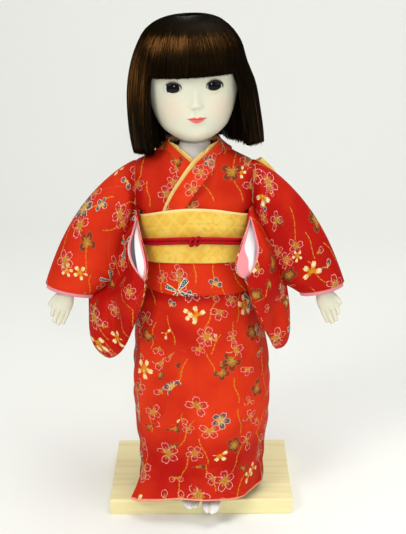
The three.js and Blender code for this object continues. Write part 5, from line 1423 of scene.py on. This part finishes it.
def makeHand(side, word):
    # palm of oval sections, four fingers and a thumb as tapering tubes, run together
    s = hand
    a = roundTurn(40)[None, :]
    z = np.linspace(1, -22, 30)[:, None]
    half, thick = [through(s["palmZ"], s[key], z) for key in ("palmHalf", "palmThick")]
    parts = [facedOut(closedLoft(stacked(half * np.cos(a), thick * np.sin(a), z)))]
    t = np.linspace(0, 1, 24)
    for i in range(4):
        share = i / 3 - 0.5
        length = s["fingerLength"] * (1 - 0.28 * (2 * abs(share + 0.1 * side)) ** 2)
        root = np.array([share * s["spread"], -0.2, s["fingerRoot"]])
        tip = root + np.array([share * -1.6, -s["curl"], -length])
        bend = [root + np.array([0, 0.3, 5.0]), (root + tip) / 2 + np.array([0, 1.0, 0]), tip]
        radius = s["fingerRadius"] * (1 - 0.22 * t + 0.05 * np.cos(t * 14))
        parts.append(fingerTube(bend, t, radius * np.sqrt(np.clip((1 - t) / 0.09, 0.02, 1)), 0.95))
    mirror = np.array([side, 1, 1])
    root, tip = np.array(s["thumbRoot"]) * mirror, np.array(s["thumbTip"]) * mirror
    bend = [root * 0.55 + np.array([0, 0, -1.0]), (root + tip) / 2 + np.array([side * 1.0, 0, 0.5]), tip]
    radius = s["thumbRadius"] * (1 - 0.18 * t) * np.sqrt(np.clip((1 - t) / 0.1, 0.02, 1))
    parts.append(fingerTube(bend, t, radius))
    slope, forward = math.radians(s["slope"]), math.radians(s["forward"])
    axis = Vector((side * math.sin(slope), -math.sin(forward), -math.cos(slope))).normalized()
    turn = np.array(Vector((0, 0, -1)).rotation_difference(axis).to_matrix())
    wrist = np.array(arm["wrist"]) * mirror + np.array([upperX, 0, 0]) + s["gap"] * np.array(axis)
    for part in parts:
        part["co"] = part["co"] @ turn.T + wrist
    obj = fused("hand" + word, parts, 0.4, 6)
    local = (meshPoints(obj) - wrist) @ turn
    clefts = sum(bell(local[:, 0] - cleft, s["cleftHalf"]) for cleft in s["clefts"])
    setTag(obj.data, "shade", np.clip(clefts * ease(-local[:, 2], 17, 23), 0, 1))
    dress(obj, word.lower() + "_hand", "shell", [skin], "hand_" + word.lower())


foot = {"at": [-9.8, -9, -5, 4, 18, 36, 50, 56, 57.5], "half": [2.2, 4.9, 6.8, 7.0, 7.9, 7.9, 6.9, 4.2, 1.8],
        "high": [5, 9, 11.8, 15.8, 13.1, 7.2, 4.9, 3.2, 2.0], "x": 10.5, "y": {-1: -1.5, 1: -10.0},
        "toeIn": 3.0, "sole": 0.35, "ankle": 8.3, "ankleTop": 27.0, "toeSlit": 1.4, "slitHalf": 0.75,
        "slitDepth": 6.0, "thick": 0.6}


def makeSock(side, word):
    # foot of half-oval sections and an ankle tube run together; the big toe is parted by a groove
    s = foot
    a = roundTurn(40)[None, :]
    at = np.linspace(s["at"][0], s["at"][-1], 60)[:, None]
    half, high = through(s["at"], s["half"], at), through(s["at"], s["high"], at)
    z = s["sole"] + high / 2 * (1 + signedPower(np.sin(a), 0.75))
    sole = facedOut(closedLoft(stacked(half * signedPower(np.cos(a), 0.75), -at, z)))
    level = np.linspace(4, s["ankleTop"], 20)[:, None]
    shin = facedOut(closedLoft(stacked(s["ankle"] * np.cos(a), s["ankle"] * np.sin(a), level)))
    obj = fused("tabiSock" + word, [sole, shin], 0.7, 6)
    without(obj, meshPoints(obj)[:, 2] > s["ankleTop"] - 1.2)
    x, y, z = meshPoints(obj).T
    gap = bell(x + side * s["toeSlit"], s["slitHalf"]) * ease(-y, 44, 54)
    points = stacked(x, y + s["slitDepth"] * gap, np.maximum(z, s["sole"]))
    turn = np.array(Matrix.Rotation(-math.radians(side * s["toeIn"]), 3, "Z"))
    points = points @ turn.T + np.array([side * s["x"], s["y"][side], 0])
    setPoints(obj, points)
    setCoords(obj, stacked(points[:, 0] + 0.4 * points[:, 2], points[:, 1]))
    wall(obj, s["thick"])
    dress(obj, "doll_body", "cotton", [whiteCotton], "tabi_sock_" + word.lower())


for sideSign, sideWord in ((-1, "Right"), (1, "Left")):
    makeSleeve(sideSign, sideWord)
    makeArm(sideSign, sideWord)
    makeHand(sideSign, sideWord)
    makeSock(sideSign, sideWord)
print("sleeves, arms, hands and socks made")


# head and face, in the head's own frame: x to the doll's left, y back, z up from the foot of the neck

headPose = {"place": (-3.0, 0.0, 282.0), "tilt": -2.6, "turn": 5.0}


def headPlace(points):  # from the head's own frame to the doll's
    tilt = Matrix.Rotation(math.radians(headPose["tilt"]), 3, "Y")
    turn = Matrix.Rotation(math.radians(headPose["turn"]), 3, "Z")
    return points @ np.array(tilt @ turn).T + np.array(headPose["place"])


face = {
    "z": [-11, 4, 6.5, 8.5, 10.5, 13, 16.5, 20.5, 26, 34, 47, 62, 78, 88],
    "half": [11, 11, 11.2, 13, 15.8, 19.2, 23.2, 26.4, 29.2, 32.2, 35, 35.5, 30, 20.5],
    "front": [11, 11, 12.5, 20, 27, 31.5, 34.2, 35.6, 36.6, 37.4, 37.2, 37.5, 32, 22],
    "back": [11, 11, 11.2, 11.5, 12, 12.8, 14.5, 17, 22, 30, 37, 39, 35, 25],
    "rows": [(-11, 4, 8), (4.6, 13, 34), (13.25, 62, 176), (62.8, 88, 22)],  # from, to, count
    "top": 95.0, "square": 0.82,
    "eyeX": 15.2, "eyeMiddle": -0.9, "eyeZ": 51.5, "eyeHalf": 6.5, "lidUp": 3.6, "lidDown": 3.4,
    "noseZ": 38.6, "cheekZ": 33.0, "blushZ": 36.0, "mouthZ": 28.2, "mouthHalf": 7.0, "lowerHalf": 6.0,
    "upperLip": 1.9, "lowerLip": 2.8, "chinZ": 14.5,
}


def headForm(s):
    # rows climb from the neck over the face to the crown; columns go round, close together in front;
    # the neck is round and the face a squarer oval
    z = np.concatenate([np.linspace(*span) for span in s["rows"]])
    dome = np.linspace(1, 0, 16)[1:] ** 0.8
    scale = np.concatenate([np.ones(len(z)), dome])[:, None]
    level = np.concatenate([z, lerp(s["top"], s["z"][-1], dome**2.2)])[:, None]
    w = np.linspace(-1, 1, 231)[:-1]
    t = 0.72 * w + 0.28 * np.sin(w * np.pi / 2)
    back = np.linspace(0, np.pi, 61)[:-1]
    unitX = np.concatenate([t, np.cos(back)])[None, :]
    fronts = [np.clip(1 - signedPower(t, 1 / power) ** 2, 0, 1) ** (power / 2) for power in (1, s["square"])]
    circle, square = [np.concatenate([-front, np.sin(back)])[None, :] for front in fronts]
    unitY = lerp(circle, square, ease(level, 9, 22))
    ring = np.clip(level, None, s["z"][-1])
    half, front, rear = [through(s["z"], s[key], ring) for key in ("half", "front", "back")]
    x, y = scale * half * unitX, scale * np.where(unitY < 0, front, rear) * unitY
    facing = ease(-unitY, 0.25, 0.6) * (scale > 0.999)
    return x, y, level + 0 * x, facing


def noseAndChin(s, x, z):
    # the nose's ridge, then bell-shaped hills and hollows: height, distance from the middle line, half-width,
    # level, half-height
    nose, mouth = s["noseZ"], s["mouthZ"]
    bridge = ease(z, nose - 0.5, nose + 17)
    push = (3.5 - 3.1 * bridge**0.6) * bell(x, lerp(3.6, 3.4, bridge))
    push = push * ease(z, nose - 3.9, nose - 0.2) * (1 - ease(z, nose + 7, nose + 20))
    hills = [(1.25, 3.5, 1.7, nose - 1.3, 1.9), (1.0, 17.5, 11, s["cheekZ"], 10),
             (1.7, 0, 9.5, s["chinZ"], 5.0), (1.6, 0, 11.5, mouth + 0.5, 7.0),
             (-0.7, 0, 7.5, mouth - 6.2, 2.6), (-0.45, 0, 1.5, mouth + 4.4, 2.4)]
    for height, out, wide, level, high in hills:
        push = push + height * bell(np.abs(x) - out, wide) * bell(z - level, high)
    return push


def mouthForm(s, x, z):
    # two lips that meet on a slightly bowed line
    half = s["mouthHalf"]
    over = z - (s["mouthZ"] + 0.35 * (x / half) ** 2 - 0.45 * bell(x, 1.5))
    upTop = s["upperLip"] * np.clip(1 - (np.abs(x) / half) ** 1.9, 0, 1) * (1 - 0.28 * bell(x, 1.1))
    lowTop = s["lowerLip"] * np.clip(1 - (x / s["lowerHalf"]) ** 2, 0, 1) ** 0.75
    upper = ease(over, -0.35, 0.0) * (1 - ease(over, upTop - 0.25, upTop + 0.25)) * ease(upTop, 0.15, 0.5)
    lower = (1 - ease(over, -0.1, 0.35)) * ease(over, -lowTop - 0.3, -lowTop + 0.3) * ease(lowTop, 0.2, 0.6)
    push = 0.75 * bell(over - upTop * 0.5, 1.5) * ease(upTop, 0, 1.4)
    push = push + 1.0 * bell(over + lowTop * 0.5, 1.7) * ease(lowTop, 0, 2.0)
    push = push - 0.75 * bell(over, 0.42) * ease(upTop, 0.2, 1.4)
    line = bell(over, 0.32) * ease(half + 0.4 - np.abs(x), 0, 0.8)
    corner = bell(np.abs(x) - half + 0.5, 0.8) * bell(over, 0.5)
    return push, np.maximum(upper, lower), np.maximum(line, corner)


def lidForm(s, x, z):
    # each eye: a shallow hollow, a raised rim round the opening, the opening sunk, the painted lash line, and
    # a line of painted shade just above the upper lid
    push, lash, rim = [np.zeros_like(x) for _ in range(3)]
    for side in (-1, 1):
        ex, ez = x - s["eyeMiddle"] - side * s["eyeX"], z - s["eyeZ"]
        across, outward = np.abs(ex) / s["eyeHalf"], side * ex / s["eyeHalf"]
        top = s["lidUp"] * np.clip(1 - across**2.4, -3, 1)
        bottom = -s["lidDown"] * np.clip(1 - across**2.2, -3, 1)
        edge = np.maximum(ez - top, bottom - ez)
        push -= 0.85 * bell(ex, 8.5) * bell(ez - 1.0, 6.5)
        push += 1.35 * bell(edge - 0.35, 1.35) * (across < 1.7) * bell(across, 1.25)
        push -= 4.2 * (1 - ease(edge, -0.75, 0.05))
        sweep = s["lidUp"] * (1 - np.clip(across, 0, 1.3) ** 2.4 * np.where(outward > 0, 0.86, 1.0))
        ends = (1 - ease(outward, 1.0, 1.18)) * (1 - ease(-outward, 0.86, 1.0))
        stroke = bell(ez - sweep - 0.1, 1.35 + 0.2 * outward) * ends
        lash = np.maximum(lash, np.clip(stroke * 1.7, 0, 1))
        rim = np.maximum(rim, 0.5 * bell(ez - top - 2.0, 0.5) * (across < 1.0))
    return push, lash, rim


def makeHead(s):
    # nose, lips, lids, cheeks and chin are hills and hollows added to the front
    x, y, z, facing = headForm(s)
    lipPush, lips, lipLine = mouthForm(s, x, z)
    lidPush, lash, rim = lidForm(s, x, z)
    nostril = bell(np.abs(x) - 1.9, 0.75) * bell(z - s["noseZ"] + 2.8, 0.6)
    push = noseAndChin(s, x, z) + lipPush + lidPush - 0.5 * nostril
    points = headPlace(stacked(x, y - push * facing, z))
    neckEnd = np.broadcast_to(points[0].mean(0), points[0].shape)[None]
    blush = bell(np.abs(x) - 19, 9.5) * bell(z - s["blushZ"], 9.5)
    tags = {"lips": lips, "lipLine": lipLine, "lash": lash, "blush": blush,
            "shade": np.maximum(nostril, rim * 0.5)}
    tags = {name: np.pad(np.clip(value, 0, 1) * facing, ((1, 0), (0, 0))) for name, value in tags.items()}
    obj = newPiece("headSkin", grid(np.concatenate([neckEnd, points]), wrap=True, **tags), weld=0.002)
    dress(obj, "doll_head", "shell", [skin], "head")


eye = {"radii": (7.6, 4.4, 6.6), "y": -30.7, "turn": 8.0, "iris": 5.2, "pupil": 3.4}


def makeEye(side, word):
    # an oval bead of glass; the iris tag falls off with the distance from its middle
    s = eye
    a = roundTurn(72)[None, :]
    b = np.linspace(0, np.pi, 49)[:, None]
    points = stacked(np.sin(b) * np.cos(a), -np.cos(b), np.sin(b) * np.sin(a)) * np.array(s["radii"])
    away = np.hypot(points[..., 0], points[..., 2] - 0.1)
    iris = np.clip(0.5 + (s["iris"] - away) * 0.9, 0, 1) * 0.7 + 0.3 * (away < s["pupil"])
    iris = np.where(points[..., 1] < 0, iris, 0)
    turn = np.array(Matrix.Rotation(math.radians(side * s["turn"]), 3, "Z"))
    points = points @ turn.T + np.array([face["eyeMiddle"] + side * face["eyeX"], s["y"], face["eyeZ"]])
    obj = newPiece("eye" + word, facedOut(grid(headPlace(points), wrap=True, iris=iris)), weld=0.001)
    dress(obj, "doll_head", "eye_glass", [eyeGlass], "eye_" + word.lower())


makeHead(face)
makeEye(-1, "Right")
makeEye(1, "Left")
print("head and eyes made")


# hair: a dark cap under many strands that fall from the crown

hair = {
    "z": [1.5, 20, 43, 60, 75, 88, 93, 97], "half": [48, 50, 50, 47.5, 43, 36.5, 32.6, 27.5],
    "front": [30, 36, 42.5, 44, 42.5, 36, 32, 26.5], "back": [41, 45, 46.5, 46, 43, 36, 32, 26.5],
    "top": 102.6, "swing": 6.0, "nip": 3.2, "dip": 2.4, "domeShare": 0.2,
    "fringeHalf": 35.6, "templeRadius": 49.0, "fringeBottom": 59.7, "fringeThick": 3.0,
    "capDepth": 1.5, "capThick": 2.6, "meanRadius": 44.0, "capTone": 0.05,
    "strands": 2500, "fringeStrands": 1050, "innerStrands": 520, "strays": 46, "width": 0.72, "thick": 0.42,
    "phases": 6.28, "sheenTop": 89.5,
}
hairBottom = hair["z"][0]
hairEdge = math.acos(hair["fringeHalf"] / hair["templeRadius"])  # from the side of the head to the fringe
hairDraw = np.random.default_rng(17)


def hairSurface(angle, down, bottom):
    # down runs 0 at the crown, over the dome, then straight down the sides to 1 at the cut
    s = hair
    scale = np.clip(down / s["domeShare"], 0, 1) ** 0.9
    fall = np.clip((down - s["domeShare"]) / (1 - s["domeShare"]), 0, 1)
    onDome, below = lerp(s["top"], s["z"][-1], scale**2.7), lerp(s["z"][-1], bottom, fall)
    z = np.where(down < s["domeShare"], onDome, below)
    level = np.clip(z, hairBottom, s["z"][-1])
    half, front, back = [through(s["z"], s[key], level) for key in ("half", "front", "back")]
    depth = np.where(np.sin(angle) < 0, front, back)
    lean = s["swing"] * np.clip((46 - z) / 44, 0, 1) ** 1.6 - s["nip"] * bell(z - 66, 14)
    lean = lean - 2.0 * scale * bell(z - 93, 9)
    x = scale * half * np.cos(angle) + ease(np.cos(angle), 0.1, 0.7) * lean
    z = z - s["dip"] * ease(-np.cos(angle), 0.2, 0.7) * ease(60 - z, 0, 58)
    return stacked(x, scale * depth * np.sin(angle), z)


def sheen(paths, tone, draw):
    # painted highlight: lighter where the light catches the bend below the crown, with a ragged upper end,
    # and where it falls down the doll's right side
    top = hair["sheenTop"] + draw.normal(0, 1.1, len(paths))[:, None]
    x, y, z = np.moveaxis(paths, -1, 0)
    band = ease(-y, 2, 22) * ease(top - z, -0.8, 1.2) * (1 - ease(top - z, 5, 16))
    band = band * lerp(1.0, 0.42, ease(x, -20, 25))
    side = ease(-x, 30, 44) * bell(z - 60, 26) * ease(-y, -16, 6)
    lit = np.maximum(band, side)
    return np.clip(tone[:, None] * (0.42 + 0.95 * lit) + 0.34 * lit, 0, 1)


def strandPart(paths, widths, thick, tone):
    # three-sided slips of hair, pointed at both ends
    count, steps = paths.shape[:2]
    ahead = unit(np.gradient(paths, axis=1))
    out = unit(paths * np.array([1.0, 1.0, 0.25]))
    side = unit(np.cross(ahead, out))
    out = np.cross(side, ahead)
    share = np.linspace(0, 1, steps)
    taper = np.sqrt(np.clip(np.minimum(share / 0.06, (1 - share) / 0.025), 0, 1))[None, :, None, None]
    a = (np.pi / 2 + roundTurn(3))[None, None, :, None]
    ring = side[:, :, None] * np.cos(a) * widths[:, None, None, None] + out[:, :, None] * np.sin(a) * thick
    points = headPlace(paths[:, :, None] + ring * taper)
    one = grid(points[0], wrap=True)["faces"]
    faces = (one[None] + (np.arange(count) * steps * 3)[:, None, None]).reshape(-1, 4)
    values = np.broadcast_to(tone.reshape(count, -1, 1), points.shape[:3]).reshape(-1)
    uv = np.zeros((faces.size, 2))
    return {"co": points.reshape(-1, 3), "faces": faces, "uv": uv, "tags": {"strand": values}}


def addStrands(name, node, paths, widths, thick, tone):
    obj = newPiece(name, facedOut(strandPart(paths, widths, thick, tone)), weld=0.0004)
    dress(obj, "doll_head", "hair", [hairFibre], node)


def gathered(at, bunches, share):  # moves each strand part of the way to the nearest of the bunches
    return lerp(at, np.round(at * bunches) / bunches, share)


def wavy(at, down, high, pace, drift, draw):  # angle along each strand: a slight wave and a drift to one side
    wave = high * np.sin(down * pace + draw.uniform(0, hair["phases"], len(at))[:, None])
    return at[:, None] + wave + draw.normal(0, drift, len(at))[:, None] * down


def spreadOut(paths, factor):  # away from the head's axis, or towards it
    return paths * stacked(factor, factor, 1.0)


def makeCap(s):
    # one sheet down the sides and back, and one over the top, under the strands' surface
    # each strand has its own place on the ramp, raised where a highlight is painted, varied by streaks along
    # the fall
    sheets = [(np.linspace(-hairEdge, np.pi + hairEdge, 110), np.linspace(0.42, 0.995, 50), False),
              (roundTurn(120), np.linspace(0, 0.46, 30), True)]
    parts = []
    for angle, down, wrap in sheets:
        points = hairSurface(angle[None, :], down[::-1][:, None], hairBottom)
        points = spreadOut(points, 1 - s["capDepth"] / s["meanRadius"])
        points[..., 2] -= s["capDepth"] * ease(points[..., 2], 86, 100)
        parts.append(facedOut(grid(headPlace(points), wrap=wrap, strand=s["capTone"])))
    cap = newPiece("hairCap", joined(*parts), weld=0.001)
    wall(cap, s["capThick"])
    dress(cap, "doll_head", "hair", [hairFibre], "hair_bob")


def makeBob(s, draw):
    # strands of the bob, in two pieces for the two sides of the head
    count = s["strands"] // 2
    for word, low, high in (("Left", -hairEdge, np.pi / 2), ("Right", np.pi / 2, np.pi + hairEdge)):
        at = gathered(draw.uniform(low, high, count), 22, 0.25)
        sink = np.abs(draw.normal(0, 1.0, count))
        start = s["domeShare"] * draw.uniform(0, 1, count)[:, None] ** 2.2
        cut = hairBottom + draw.normal(0, 0.5, count) + 0.27 * sink
        down = lerp(start, 1, np.linspace(0, 1, 20)[None, :])
        paths = hairSurface(wavy(at, down, 0.010, 9, 0.012, draw), down, cut[:, None])
        paths = spreadOut(paths, 1 - (sink[:, None] - 0.2) / 45)
        widths = draw.uniform(0.6, 1.25, count) * s["width"]
        tone = sheen(paths, draw.beta(1.6, 2.6, count), draw)
        addStrands("hairStrands" + word, "hair_bob", paths, widths, s["thick"], tone)


def makeInnerHair(s, draw):
    # beside the neck, where it shows behind the jaw; strands near the neck end higher
    count = s["innerStrands"]
    side = np.where(np.arange(count) % 2, 1, -1)[:, None]
    share = draw.uniform(0, 1, count)
    wide = lerp(38.0, 21.5, share) + draw.normal(0, 1.2, count)
    back = lerp(-20.0, 22.0, share) + draw.normal(0, 2.0, count)
    fall = np.linspace(0, 1, 12)[None, :]
    cut = hairBottom + draw.uniform(0, 3, count) + 0.95 * np.clip(24.5 - wide, 0, 12)
    z = lerp(46.0, cut[:, None], fall)
    x = side * (wide[:, None] + 1.5 * np.sin(fall * np.pi)) + 2.0 * np.clip((46 - z) / 44, 0, 1)
    addStrands("hairInner", "hair_bob", stacked(x, back[:, None], z), draw.uniform(1.0, 1.8, count), 0.6,
               draw.uniform(0.0, 0.35, count))


def makeStrays(s, draw):
    # a few thin hairs that stand off the cut a little
    count = s["strays"]
    at = draw.uniform(-hairEdge, np.pi + hairEdge, count)[:, None]
    down = np.linspace(0.35, 1.0, 16)[None, :]
    angle = at + draw.normal(0, 0.05, count)[:, None] * down**3
    paths = hairSurface(angle, down + 0 * at, hairBottom + draw.uniform(-3, 1, count)[:, None])
    paths = spreadOut(paths, 1 + draw.uniform(0.0, 0.035, count)[:, None] * (down - 0.35) ** 2)
    addStrands("hairStrays", "hair_bob", paths, np.full(count, 0.3), 0.2, draw.uniform(0.3, 0.9, count))


def makeFringe(s, draw):
    # strands cut straight above the eyes, over a backing sheet
    low, high = hairEdge - np.pi, -hairEdge
    toCut = (s["z"][-1] - s["fringeBottom"]) / (s["z"][-1] - hairBottom)
    bottomDown = lerp(s["domeShare"], 1, toCut)
    count = s["fringeStrands"]
    at = gathered(draw.uniform(low, high, count), 30, 0.35)
    start = draw.uniform(0.07, 0.19, count)[:, None]
    stop = bottomDown + draw.normal(0, 0.0035, count)[:, None]
    down = lerp(start, stop, np.linspace(0, 1, 16)[None, :])
    paths = hairSurface(wavy(at, down, 0.006, 11, 0.010, draw), down, hairBottom)
    paths = spreadOut(paths, 1 - (draw.uniform(-0.012, 0.010, count)[:, None] + 0.004))
    widths = draw.uniform(0.6, 1.3, count) * s["width"]
    tone = sheen(paths, draw.beta(1.8, 2.2, count), draw)
    addStrands("hairFringe", "hair_fringe", paths, widths, s["thick"], tone)
    angle = np.linspace(low, high, 70)[None, :]
    points = hairSurface(angle, np.linspace(0.17, bottomDown, 30)[::-1][:, None], hairBottom)
    points = headPlace(spreadOut(points, 1 - 1.0 / s["meanRadius"]))
    backing = newPiece("hairFringeBacking", facedOut(grid(points, strand=s["capTone"])))
    wall(backing, s["fringeThick"])
    dress(backing, "doll_head", "hair", [hairFibre], "hair_fringe")


makeCap(hair)
makeBob(hair, hairDraw)
makeInnerHair(hair, hairDraw)
makeStrays(hair, hairDraw)
makeFringe(hair, hairDraw)
print("hair made")


# the solids that stay as they are take their finishes

solidFinishes = [
    (boardWood, "base_board"), (pressedWood, "torso"), (pasteboard, "obi_card"),
    (skin, "leg_right", "leg_left"),
    (wire, "support_post", "shoulder_pin_right", "shoulder_pin_left", "bow_hook"),
    (pegWood, "hand_peg_right", "hand_peg_left", "neck_dowel"),
]
for finish, *nodeNames in solidFinishes:
    for nodeName in nodeNames:
        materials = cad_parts[nodeName].data.materials
        materials.clear()
        materials.append(finish)
print("solids finished")
